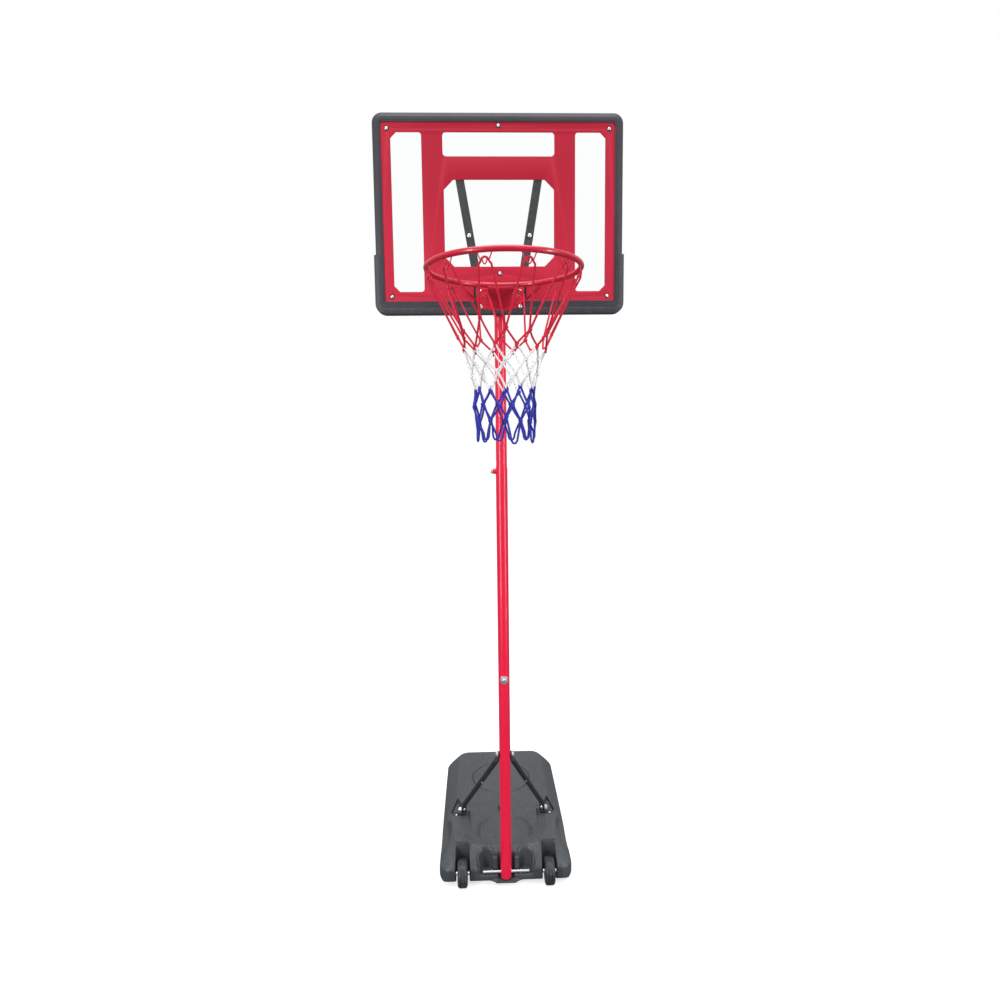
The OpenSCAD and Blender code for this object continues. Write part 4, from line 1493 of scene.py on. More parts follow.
@dataclass
class Struts:
    """Two tube struts with flattened ends, their brackets on the base and every bolt."""

    tube: float = 9.5
    tab: float = 2.0
    tab_half: float = 12.0
    neck: float = 24.0
    bend: float = 52.0
    shift: float = 9.0
    top: tuple[float, float] = (22.2, 505.0)
    foot: Triple = (163.8, -99.0, 126.0)
    rivet_share: float = 0.42

    def strut(self, side: int) -> tuple[Shell, Array, Array]:
        """One strut, lofted from tab to tube to tab.

        Args:
            side: -1 for the left one, 1 for the right one.

        Returns:
            The shell, and a point on its outer side with the direction that it faces.
        """
        top_x, top_z = self.top
        run_y = self.foot[1] - POLE_Y
        run_z = top_z - self.foot[2]
        lean = math.atan2(run_y, run_z)
        long = math.hypot(run_y, run_z)
        sideways = self.foot[0] - top_x
        stations: list[tuple[float, float]] = [(t, 0.0)
                                                for t in (-11.9, -11.2, -9.6, -7, -3, 4, 14, self.neck)]
        stations += [(self.neck + (self.bend - self.neck) * s, float(step(np.array(s)))) for s in
                     (0.12, 0.25, 0.4, 0.55, 0.7, 0.85, 1.0)]
        ends = stations + [(long - t, round_share) for t, round_share in reversed(stations)]
        angles = (np.arange(40) + 0.5) * TURN / 40
        loops = []
        for t, round_share in ends:
            along = (t - self.bend) / (long - 2 * self.bend)
            blend_x = self.shift + (sideways - 2 * self.shift) * min(max(along, 0), 1)
            start = t < long / 2
            own = t if start else long - t
            base_x = 0 if start else sideways
            centre_x = base_x + (blend_x - base_x) * (round_share if own < self.bend else 1)
            wide = math.sqrt(max(self.tab_half**2 - own**2, 0.5)) if own < 0 else self.tab_half
            half_y = wide + (self.tube - wide) * round_share
            half_x = self.tab + (self.tube * 1.05 - self.tab) * round_share
            power = 2 / (7 - 5 * round_share)
            cos, sin = np.cos(angles), np.sin(angles)
            x = centre_x + half_x * np.sign(cos) * np.abs(cos) ** power
            y = half_y * np.sign(sin) * np.abs(sin) ** power
            loops.append(np.column_stack([x, y, np.full(40, -t)]))
        points = np.array(loops)
        cos, sin = math.cos(lean), math.sin(lean)
        placed = np.stack([points[..., 0] + top_x, POLE_Y + points[..., 1] * cos - points[..., 2] * sin,
                           top_z + points[..., 1] * sin + points[..., 2] * cos], -1)
        placed[..., 0] *= side
        shell = Shell().bridge(list(placed))
        t = self.bend + (long - 2 * self.bend) * self.rivet_share
        x = self.shift + (sideways - 2 * self.shift) * self.rivet_share
        front = np.array([x, -self.tube + 0.3, -t])
        spot = np.array([side * (front[0] + top_x), POLE_Y + front[1] * cos - front[2] * sin,
                         top_z + front[1] * sin + front[2] * cos])
        return shell, spot, np.array([0, -cos, -sin])

    def bracket(self, side: int) -> Shell:
        """A folded steel bracket: a foot on the base and a round-topped cheek."""
        x, y, z = self.foot
        shell = Shell()
        floor = z - 26
        cheek = [(y - 14, floor + 0.4, 0.5), (y + 14, floor + 0.4, 0.5), (y + 14, z + 14, 13.9),
                 (y - 14, z + 14, 13.9)]
        shell.sheet(rounded(cheek, 10), [disc(y, z, 4.1)], 3, facing_side(side * (x + 3.7)), 0.5)
        foot = window(x + 2.4, x + 36.2, y - 14, y + 14, 5)
        if side < 0:
            foot = foot * np.array([-1, 1])
        shell.sheet(foot, [disc(side * 190, y, 2.7)], 3, lying(floor + 1.5), 0.5)
        fillet = [(side * (x + 5.0), y + s, floor + 2.8) for s in (-13.4, 0, 13.4)]
        return shell.tube(np.array(fillet), 1.6, 10)

    def build(self) -> None:
        """Makes the struts, the brackets and the fasteners."""
        rivets, facing = [], []
        for name, side in (("left", -1), ("right", 1)):
            shell, spot, direction = self.strut(side)
            rivets.append(spot)
            facing.append(direction)
            piece(f"strut_{name}_tube", shell, f"strut_{name}")
            piece(f"strut_{name}_bracket", self.bracket(side), f"strut_bracket_{name}", slot="bracket_steel")
        scattered("strut_rivets", pan_head(3.6, 1.8), rivets, facing, like="strut_left", slot="zinc_steel")
        x, y, z = self.foot
        sides = [TO_LEFT, TO_RIGHT]
        head = pin(4, 16, 0.8, bolt_head(9.6, 10.5, 13))
        scattered("strut_foot_bolts", head, [(-x - 5.2, y, z), (x + 5.2, y, z)], sides, "strut_bracket_bolts",
                  spin=1.0, seed=3)
        nut = hexagon(7.5, 6.6, 0, 4)
        scattered("strut_foot_nuts", nut, [(-x + 8.6, y, z), (x - 8.6, y, z)], sides, "strut_bracket_nuts",
                  spin=1.0, seed=5)
        seat = 103.0
        scattered("bracket_fixings", pin(2.5, 22, 0.8, pan_head(5, 3)), [(-190, y, seat), (190, y, seat)],
                  UP, "bracket_screws")
        out = self.top[0] + self.tab
        through = threaded(4, 2 * out + 9, 12, washer(10, 1, 2, 0, hexagon(7.5, 6, 2)))
        scattered("strut_top_fixing", through, [(-out, POLE_Y, self.top[1])], TO_LEFT, "strut_top_bolt",
                  spin=0.6, seed=2)
        nut = washer(10, 4, 2, 0, hexagon(7.5, 6, 2, 4))
        scattered("strut_top_fixing_nut", nut, [(out, POLE_Y, self.top[1])], TO_RIGHT, "strut_top_nut",
                  spin=0.6, seed=4)


@dataclass
class Pole:
    """The telescoping pole: three tubes, their joint, the height lock and both end caps."""

    wall: float = 1.2
    radius: float = 20.0
    upper_radius: float = 18.5
    hole: float = 4.5
    lock_z: float = 1520.0
    hole_step: float = 100.0
    holes: int = 6
    joint_z: float = 788.0

    def tube(self, name: str, node: str, cutters: Sequence[Shell] = ()) -> Thing:
        """A tube with rounded rims that fills its node's box."""
        low, high = node_box(node)
        r = (high[0] - low[0]) / 2
        soft = self.wall / 2
        bottom = [(r - self.wall, low[2] + soft), (r - soft, low[2]), (r, low[2] + soft)]
        levels = np.linspace(low[2] + 30, high[2] - 30, 8)
        top = [(r, high[2] - soft), (r - soft, high[2]), (r - self.wall, high[2] - soft)]
        outline = bottom + [(r, z) for z in levels] + top + [(r - self.wall, z) for z in levels[::-1]]
        shell = Shell().turned(outline, 72, closed=True, centre=(0, POLE_Y, 0))
        obj = linked(name, shell.mesh(name))
        if cutters:
            carved(obj, cutters)
        smooth(obj.data)
        return deliver(obj, node)

    def drill(self, z: float, radius: float, start: float, stop: float) -> Shell:
        """A round cutter along X through the pole at a height."""
        outline = [(0, start), (radius, start), (radius, stop), (0, stop)]
        return Shell().turned(outline, 28, centre=(0, POLE_Y, z), axis=TO_RIGHT)

    def saddle(self, shell: Shell, side: int, radius: float) -> Shell:
        """A washer shaped to the tube on one face and flat on the other."""
        angles = np.arange(40) * TURN / 40
        loops = []
        for share, lift in ((0.28, None), (0.94, None), (1.0, 0.25), (1.0, 0.8), (0.92, 1.0), (0.28, 1.0)):
            x, z = radius * share * np.cos(angles), radius * share * np.sin(angles)
            bed = np.sqrt(np.maximum(self.radius**2 - x**2, 1))
            out = bed if lift is None else bed + (self.radius + 3 - bed) * lift
            loops.append(np.column_stack([x, POLE_Y - side * out, z + self.joint_z]))
        return shell.bridge(loops, around=True)

    def build(self) -> None:
        """Makes every part of the pole."""
        low, high = node_box("pole_foot_cap")
        edge, soft = 12.0, 0.4
        outline = [(0, low[2])]
        outline += [(self.radius - edge + edge * math.sin(a), low[2] + edge - edge * math.cos(a))
                    for a in np.linspace(0, math.pi / 2, 10)]
        outline += [(self.radius, high[2] - soft), (self.radius - soft, high[2]), (0, high[2])]
        piece("pole_foot", Shell().turned(outline, 72, centre=(0, POLE_Y, 0)), "pole_foot_cap")
        self.tube("pole_lower_tube", "pole_lower")
        self.tube("pole_joint_sleeve", "joint_sleeve")
        self.tube("pole_middle_tube", "pole_middle")
        left = [self.drill(self.lock_z + self.hole_step * k, self.hole, -30, 0) for k in range(self.holes)]
        self.tube("pole_upper_tube", "pole_upper", left)
        cap = node_box("pole_top_cap")[1][2]
        r = self.upper_radius
        outline = [(0, cap), (r - 5, cap - 0.3), (r - 1.6, cap - 1.4), (r - 0.3, cap - 3), (r, cap - 4.6),
                   (r, cap - 5),
                   (r - 1.25, cap - 5), (r - 1.25, cap - 18), (r - 2, cap - 19), (0, cap - 19)]
        piece("pole_end_cap", Shell().turned(outline, 64, centre=(0, POLE_Y, 0)), "pole_top_cap")
        washers = self.saddle(self.saddle(Shell(), 1, 15), -1, 11)
        piece("joint_saddles", washers, "joint_washer")
        front = (0, POLE_Y - self.radius - 3, self.joint_z)
        outline = [(0, 5), (3.4, 4.9), (6, 4.2), (7.5, 2.6), (8, 0.8), (8, 0), (4, 0),
                   (4, -2 * self.radius - 13),
                   (3.2, -2 * self.radius - 14), (0, -2 * self.radius - 14)]
        piece("joint_cross_bolt", Shell().turned(outline, 40, centre=front, axis=TO_PLAYER), "joint_bolt")
        back = (0, POLE_Y + self.radius + 3, self.joint_z)
        scattered("joint_cross_nut", hexagon(7.5, 6, 0, 4), [back], AWAY, "joint_nut", spin=0.5, seed=6)
        boss = [(4.05, -self.radius - 9.4), (5.0, -self.radius - 10), (8.0, -self.radius - 10),
                (9, -self.radius - 9)]
        boss += [(9, -self.radius + 1), (9.8, -self.radius + 1.4), (9.8, -self.radius + 3.4),
                 (4.05, -self.radius + 3.4)]
        shell = Shell().rolled(boss, 48, np.array([0, POLE_Y, self.lock_z]), True)
        obj = linked("lock_collar", shell.mesh("boss"))
        fit, down, up = self.radius - 0.05, self.lock_z - 30, self.lock_z + 30
        carved(obj, [Shell().turned([(0, down), (fit, down), (fit, up), (0, up)], 96, centre=(0, POLE_Y, 0))])
        smooth(obj.data)
        deliver(obj, "lock_boss")
        head = threaded(4, 11.5, 9, hexagon(7.5, 6.7))
        scattered("lock_screw", head, [(-self.radius - 10.3, POLE_Y, self.lock_z)], TO_LEFT, "lock_bolt")


# ---- the board


@dataclass
class Board:
    """The backboard: clear panel, printed sheet, moulded trim, corner bumper, braces and fasteners."""

    front: float = 56.0
    sheet_front: float = 53.0
    sheet_back: float = 52.0
    panel_back: float = 49.0
    lip_back: float = 46.0
    brace_back: float = 45.0
    flange_back: float = 42.0
    back: float = 30.0
    half: float = 396.0
    low: float = 2040.0
    high: float = 2651.0
    corner: float = 31.0
    bumper_out: float = 6.0
    bumper_top: float = 2220.0
    centre_bolt: tuple[float, float] = (0.0, 2162.0)
    brace_bolt: tuple[float, float] = (97.0, 2279.0)
    rim_bolt_x: float = 64.0
    rim_bolt_z: tuple[float, float] = (2057.0, 2104.0)
    corners: tuple[tuple[float, float], ...] = (
        (-351, 2603), (0, 2612), (351, 2603), (-347, 2090), (347, 2090))

    def rim_bolts(self) -> list[tuple[float, float]]:
        """Where the rim's four bolts go, as drawn."""
        return [(side * self.rim_bolt_x, z) for side in SIDES for z in self.rim_bolt_z]

    def behind(self) -> Shell:
        """The space behind the board that its bracket takes up."""
        return Shell().sheet(window(-92, 92, 2046.2, 2116.2, 1), [], 30, facing_player(self.panel_back - 15),
                             0.02)

    def spots(self, points: Iterable[tuple[float, float]], distance: float) -> list[Triple]:
        """Drawn points as points this far in front of the pole's axis."""
        return [(x, POLE_Y - distance, z) for x, z in points]

    def bolt_holes(self, radius: float = 3.2) -> list[Array]:
        """Every bolt hole through the sheet and the panel."""
        x, z = self.brace_bolt
        small = [disc(cx, cz, radius) for cx, cz in (*self.corners, self.centre_bolt, (-x, z), (x, z))]
        return small + [disc(*spot, 4.2) for spot in self.rim_bolts()]

    def openings(self) -> list[Array]:
        """The clear windows in the printed sheet."""
        made = [window(-176.5, 176.5, 2520, 2592, 11)]
        centre = [(145, 2183, 4), (175, 2213, 4), (175, 2419, 4), (145, 2449, 4)]
        made.append(rounded(centre + [(-x, z, r) for x, z, r in reversed(centre)], 4))
        side = [(321, 2105, 5), (340, 2124, 5), (340, 2573, 5), (321, 2592, 5), (243, 2592, 10),
                (243, 2105, 10)]
        made.append(rounded(side, 4))
        made.append(rounded([(-x, z, r) for x, z, r in side], 4))
        made += [window(s * 81 - 4, s * 81 + 4, 2081, 2121, 1.2, 3) for s in SIDES]
        return made

    def panels(self) -> None:
        """Makes the clear panel and the printed sheet in front of it."""
        holes = self.bolt_holes()
        panel = window(-385, 385, 2046.5, 2640, 20, 8)
        middle = (self.sheet_back + self.panel_back) / 2
        thickness = self.sheet_back - self.panel_back
        piece("clear_board", Shell().sheet(panel, holes, thickness - 0.04, facing_player(middle), 0.3),
              "clear_panel")
        sheet = window(-384, 384, 2047.5, 2639, 20, 8)
        middle = (self.sheet_front + self.sheet_back) / 2
        piece("target_sheet", Shell().sheet(sheet, holes + self.openings(), 0.9, facing_player(middle), 0.25),
              "printed_sheet")

    def trim(self) -> None:
        """Makes the moulded trim: a channel round the board with a fine line on its face and ribs behind."""
        wall = (self.half, self.low, self.high, self.corner)

        def by(inward: float, distance: float) -> tuple[float, float, float, float, float]:
            """The trim's outline moved inwards, at a distance in front of the pole."""
            half, low, high, radius = wall
            return half - inward, low + inward, high - inward, max(radius - inward, 1.5), distance

        bend = [by(3 * (1 - math.cos(a)), self.front - 6.2 + 3 * math.sin(a))
                for a in np.linspace(0, 1.25, 5)]
        bend += [by(11.4, self.front - 0.8), by(12.6, self.front - 0.2), by(14, self.front)]
        line = [(375.6, 2069.4, 2627.6, 11, 56.0), (375.3, 2069.7, 2627.3, 10.7, 55.1),
                (374.5, 2070.5, 2626.5, 10, 55.1), (374.2, 2070.8, 2626.2, 9.8, 56.0)]
        inner = [(371.2, 2073.8, 2623.2, 7, 56.0), (370.3, 2074.7, 2622.3, 6.3, 55.6),
                 (370, 2075, 2622, 6, 54.8),
                 (370, 2075, 2622, 6, 53), (385.2, 2046.2, 2640.2, 20.2, 53),
                 (385.2, 2046.2, 2640.2, 20.2, 49),
                 (340, 2104, 2594, 12, 49), (340, 2104, 2594, 12, 46), (388, 2046.2, 2643, 23, 46),
                 (388, 2046.2, 2643, 23, 30.6), (388.6, 2045.6, 2643.6, 23.6, 30)]
        outer = [by(0.7, 30), by(0, 30.7)]
        loops = [facing_player(0)(
            np.column_stack([(flat := window(-half, half, low, high, radius, 9)),
                             np.full(len(flat), distance)]))
            for half, low, high, radius, distance in outer + bend + line + inner]
        obj = linked("board_trim", Shell().bridge(loops, around=True).mesh("board_trim"))
        holes = [Shell().turned([(0, 20), (3.2, 20), (3.2, 52), (0, 52)], 24, centre=(x, POLE_Y, z),
                                axis=TO_PLAYER)
                 for x, z in self.corners]
        front = Shell().sheet(window(-74, 74, 2030, 2095.5, 2), [], 7, facing_player(56.5), 0.02)
        carved(obj, [front, self.behind(), *holes])
        smooth(obj.data)
        deliver(obj, "trim_frame")
        spots: list[tuple[float, float]] = []
        inward: list[Triple] = []
        taken = [*self.corners, (-100, 2046), (-60, 2046), (0, 2046), (60, 2046), (100, 2046)]
        for x in np.arange(-330, 331, 60.0):
            spots += [(x, 2643.4), (x, 2045.8)]
            inward += [(0, 0, -1), (0, 0, 1)]
        for z in np.arange(2130, 2600, 58.0):
            spots += [(-388.4, z), (388.4, z)]
            inward += [(1, 0, 0), (-1, 0, 0)]
        free = [i for i, (x, z) in enumerate(spots) if all(abs(x - a) > 24 or abs(z - b) > 70 for a,
                                                           b in taken)]
        rib = Shell()
        drawn = rounded([(-0.6, -0.3, 0.2), (-0.6, 14, 1.5), (34, 0.8, 0.8), (34, -0.3, 0.2)], 3)
        rib.sheet(drawn, [], 2.2, Place((0, 0, 0), (1, 0, 0), (0, 0, 1), (0, 1, 0)), 0.35)
        places = self.spots([spots[i] for i in free], self.lip_back)
        scattered("trim_ribs", rib, places, AWAY, like="trim_frame",
                  upright=[inward[i] for i in free])

    def bumper(self) -> None:
        """Makes the soft guard over the board's lower edge and corners."""
        outside, front, back = self.half + self.bumper_out, self.front + 2, self.back - 2
        section = [(outside, back + 0.8), (outside, front - 7), (outside - 0.8, front - 4.6),
                   (outside - 2.6, front - 3),
                   (self.half - 9, front - 1), (self.half - 11.6, front - 0.8),
                   (self.half - 12.6, front - 1.4),
                   (self.half - 12.8, self.front - 0.9), (self.half - 3, self.front - 3.4)]
        section += [(self.half + 0.02, self.front - 7), (self.half + 0.02, self.back),
                    (366, self.back - 0.02), (366, back + 0.6), (366.8, back), (outside - 1, back)]
        loops = []
        for half, distance in section:
            inward = outside - half
            share = min(inward / 36, 1)
            low = self.low - self.bumper_out + inward + 2 * share
            radius = max(self.corner + 4 - inward, 7)
            flat = window(-half, half, low, 2700, radius, 9)
            bottom = flat[30:40], flat[:10]
            path = np.concatenate([[[-half, self.bumper_top]], bottom[0], bottom[1],
                                   [[half, self.bumper_top]]])
            loops.append(facing_player(0)(
                np.column_stack([path, np.full(len(path), distance)])))
        shell = Shell().bridge(loops, ring=False, around=True)
        columns, rows = len(loops[0]), len(loops)
        for column in (0, columns - 1):
            shell.faces.append(tuple(row * columns + column for row in range(rows)))
        obj = linked("board_bumper", shell.mesh("board_bumper"))
        front_cut = Shell().sheet(window(-79, 79, 2020, 2095, 2), [], 6, facing_player(self.front + 2), 0.02)
        carved(obj, [front_cut, self.behind()])
        smooth(obj.data)
        deliver(obj, "corner_bumper")

    def braces(self) -> None:
        """Makes the two leaning bars behind the panel, the spacer and the folded bracket."""
        slope = math.tan(math.radians(9.5))
        half = 13.5 / math.cos(math.radians(9.5))
        middle = (self.panel_back + self.brace_back) / 2
        for name, side in (("left", -1), ("right", 1)):
            def at(z: float) -> float:
                """How far the bar's middle is from the board's middle at a height."""
                return 66.3 + (z - 2104) * slope
            outline = rounded([(side * (at(2047) - half), 2047, 2), (side * (at(2047) + half), 2047, 2),
                               (side * (at(2470) + half), 2470, 4), (side * (at(2470) - half), 2470, 4)], 5)
            holes = [disc(side * self.rim_bolt_x, z, 4.2) for z in self.rim_bolt_z]
            holes.append(disc(side * self.brace_bolt[0], self.brace_bolt[1], 3.2))
            shell = Shell().sheet(outline, holes, self.panel_back - self.brace_back, facing_player(middle),
                                  0.9)
            line = np.array([[side * at(z), POLE_Y - self.brace_back, z] for z in (2130, 2180, 2250)])
            upper = np.array([[side * at(z), POLE_Y - self.brace_back, z] for z in (2305, 2380, 2450)])
            for path in (line, upper):
                shell.tube(path + [0, -0.9, 0], 2.2, 10)
            piece(f"v_brace_{name}_bar", shell, f"v_brace_{name}")
        spacer = [(3.2, self.brace_back), (8.2, self.brace_back), (9, self.brace_back + 0.8),
                  (9, self.panel_back - 0.8), (8.2, self.panel_back), (3.2, self.panel_back)]
        x, z = self.centre_bolt
        shell = Shell().turned(spacer, 40, True, (x, POLE_Y, z), TO_PLAYER)
        piece("panel_spacer", shell, "centre_spacer")
        shell = Shell()
        holes = [disc(*spot, 4.2) for spot in self.rim_bolts()] + [disc(*self.centre_bolt, 3.2)]
        flange = (self.brace_back + self.flange_back) / 2
        shell.sheet(window(-86, 86, 2047, 2180, 8), holes, 3, facing_player(flange), 0.5)
        for side in SIDES:
            cheek = rounded([(POLE_Y - self.flange_back - 0.6, 2047, 0.5), (POLE_Y + 14, 2047, 9),
                             (POLE_Y + 14, 2155, 9), (POLE_Y - self.flange_back - 0.6, 2155, 0.5)], 5)
            bolts = [disc(POLE_Y, cz, 4.2) for cz in (2075, 2140)]
            shell.sheet(cheek, bolts, 3, facing_side(side * 20.2), 0.5)
            weld = np.array([[side * 22.3, POLE_Y - self.flange_back + 0.6, cz] for cz in np.linspace(2050,
                                                                                                      2152,
                                                                                                      30)])
            weld[::2, 0] += side * 0.7
            shell.tube(weld, 1.7, 8)
        piece("board_mount", shell, "board_bracket")

    def fasteners(self) -> None:
        """Makes every bolt and nut of the board."""
        x, z = self.brace_bolt
        centre, braces, rims = [self.centre_bolt], [(-x, z), (x, z)], self.rim_bolts()
        grip, long_grip = self.sheet_front - self.lip_back + 9, self.sheet_front - self.flange_back + 9
        gasket = [(3.1, 0), (7.2, 0), (7.5, 0.3), (7.2, 0.7), (3.1, 0.7)]
        small, large = hexagon(5.8, 5, 0, 3), hexagon(7.5, 6.5, 0, 4)
        for name, shape, drawn, distance, facing, nodes, more in (
            ("board_corner_bolts", pin(3, grip, 0.6, pan_head(5.2, 3.4)), self.corners, self.sheet_front,
             TO_PLAYER, [], {"like": "board_bolts", "spin": TURN, "seed": 4}),
            ("board_centre_bolt", pin(3, long_grip, 0.6, pan_head(5.2, 3.4)), centre, self.sheet_front,
             TO_PLAYER, ["board_bolts"], {}),
            ("brace_bolt_heads", pin(3, self.sheet_back - self.brace_back + 8, 0.6, pan_head(6.5, 4)), braces,
             self.sheet_back, TO_PLAYER, ["v_brace_bolts"], {"spin": TURN, "seed": 8}),
            ("rim_bolt_heads", pin(4, self.front - self.flange_back + 9, 0.8, pan_head(6.5, 4.5)), rims,
             self.front, TO_PLAYER, ["rim_bolts"], {"spin": TURN, "seed": 9}),
            ("bolt_gaskets", Shell().turned(gasket, 32, True), [*self.corners, *centre], self.sheet_front,
             TO_PLAYER, [], {"like": "board_bolts", "slot": "seal_rubber"}),
            ("board_corner_nuts", small, self.corners, self.lip_back, AWAY, [],
             {"like": "board_nuts", "spin": 1, "seed": 11}),
            ("board_centre_nut", small, centre, self.flange_back, AWAY, ["board_nuts"], {}),
            ("brace_bolt_nuts", small, braces, self.brace_back, AWAY, ["v_brace_nuts"],
             {"spin": 1, "seed": 12}),
            ("rim_bolt_nuts", large, rims, self.flange_back, AWAY, ["rim_nuts"], {"spin": 1, "seed": 13}),
        ):
            scattered(name, shape, self.spots(drawn, distance), facing, *nodes, **more)
        out = 21.7
        bolt = pin(4, 2 * out + 8, 0.8, hexagon(7.5, 5.5))
        for name, shape, side, facing, node, seed in (
            ("mount_bolts", bolt, -1, TO_LEFT, "bracket_bolts", 14),
            ("mount_nuts", large, 1, TO_RIGHT, "bracket_nuts", 15),
        ):
            places = [(side * out, POLE_Y, level) for level in (2075, 2140)]
            scattered(name, shape, places, facing, node, spin=1, seed=seed)

    def build(self) -> None:
        """Makes the whole board."""
        self.panels()
        self.trim()
        self.bumper()
        self.braces()
        self.fasteners()


# ---- the rim and the net


@dataclass
class Rim:
    """The ring, its plate and wedge, two brace rods and the hooks."""

    radius: float = 215.7
    rod: float = 8.0
    centre_y: float = field(default_factory=lambda: float(node_middle("rim_ring")[1]))
    level: float = field(default_factory=lambda: float(node_middle("rim_ring")[2]))
    hooks: int = 12
    wire: float = 1.75

    def around(self, angle: float, radius: float, z: float) -> Array:
        """A point at an angle about the ring's axis."""
        return np.array([radius * math.cos(angle), self.centre_y + radius * math.sin(angle), z])

    def mount(self) -> None:
        """Makes the plate with the wedge that carries the ring."""
        plate = [(-36, 2046, 4), (36, 2046, 4), (73, 2064, 4), (73, 2116, 4), (-73, 2116, 4), (-73, 2064, 4)]
        holes = [disc(side * 64, z, 4.2) for side in SIDES for z in (2057, 2104)]
        shell = Shell().sheet(rounded(plate, 5), holes, 3, facing_player(54.5), 0.5)
        near, far = 54.0, POLE_Y - self.centre_y - self.radius + self.rod
        under = self.level - self.rod
        loops = []
        for share in np.linspace(0, 1, 14):
            low = 2050 + (under - 3 - 2050) * share
            half = 16 + 26 * share
            edge = min(3.0, (under - low) * 0.45, 3)
            flat = rounded([(half, low, edge), (42, under, min(edge, 2.5)), (-42, under, min(edge, 2.5)),
                            (-half, low, edge)], 5)
            loops.append(facing_player(near + (far - near) * share)(np.column_stack([flat,
                                                                                     np.zeros(len(flat))])))
        shell.bridge(loops)
        piece("rim_mount", shell, "rim_bracket")

    def ring(self) -> None:
        """Makes the ring."""
        angles = np.arange(144) * TURN / 144
        path = np.array([self.around(a, self.radius, self.level) for a in angles])
        piece("ring", Shell().tube(path, self.rod, 24, closed=True), "rim_ring")

    def welds(self) -> None:
        """Makes the beads where the ring meets the wedge."""
        spots = []
        reach = math.asin(41 / self.radius)
        for share in np.linspace(-1, 1, 34):
            angle = math.pi / 2 + reach * share
            for off in (-self.rod * 0.72, self.rod * 0.72):
                spots.append(self.around(angle, self.radius + off, self.level - self.rod + 1.3))
        bead_shape = Shell().turned([(0, -1.6), (1.9, -1.1), (2.5, 0), (1.9, 1.1), (0, 1.6)], 10)
        scattered("rim_welds", bead_shape, spots, UP, like="rim_ring", slot="rim_paint", spin=TURN, seed=21)

    def braces(self) -> None:
        """Makes the rods that hold the ring's sides."""
        for name, side in (("left", -1), ("right", 1)):
            tip_y = self.centre_y + math.sqrt(self.radius**2 - 120**2)
            start = np.array([side * 68, POLE_Y - 56.2, 2066])
            end = np.array([side * 120, tip_y, self.level - self.rod - 4.1])
            near = start + (end - start) * 0.06
            path = spline([start, near, start + (end - start) * 0.5, end - (end - start) * 0.05, end], 5)
            shell = Shell().tube(path, 4, 18)
            foot = [(0, 0), (6.2, 0), (5.8, 1.6), (4.2, 3.4), (0, 3.4)]
            shell.turned(foot, 20, centre=start, axis=end - start)
            piece(f"rim_brace_{name}_rod", shell, f"rim_brace_{name}")

    def hangers(self) -> None:
        """Makes the bent wire hooks under the ring."""
        bends = [(-19, 1.5), (-15, -9), (-11, -17), (-6, -15), (-5, -22), (0, -28), (5, -22), (6, -15),
                 (11, -17),
                 (15, -9), (19, 1.5)]
        wire = Shell().tube(spline([(x, 0, z) for x, z in bends], 4), self.wire, 10)
        angles = [(k + 0.5) * TURN / self.hooks for k in range(self.hooks)]
        spots = [self.around(a, self.radius, self.level - self.rod) for a in angles]
        scattered("net_hangers", wire, spots, UP, "net_hooks",
                  upright=[(-math.sin(a), math.cos(a), 0) for a in angles])

    def build(self) -> None:
        """Makes the whole rim."""
        self.mount()
        self.ring()
        self.welds()
        self.braces()
        self.hangers()


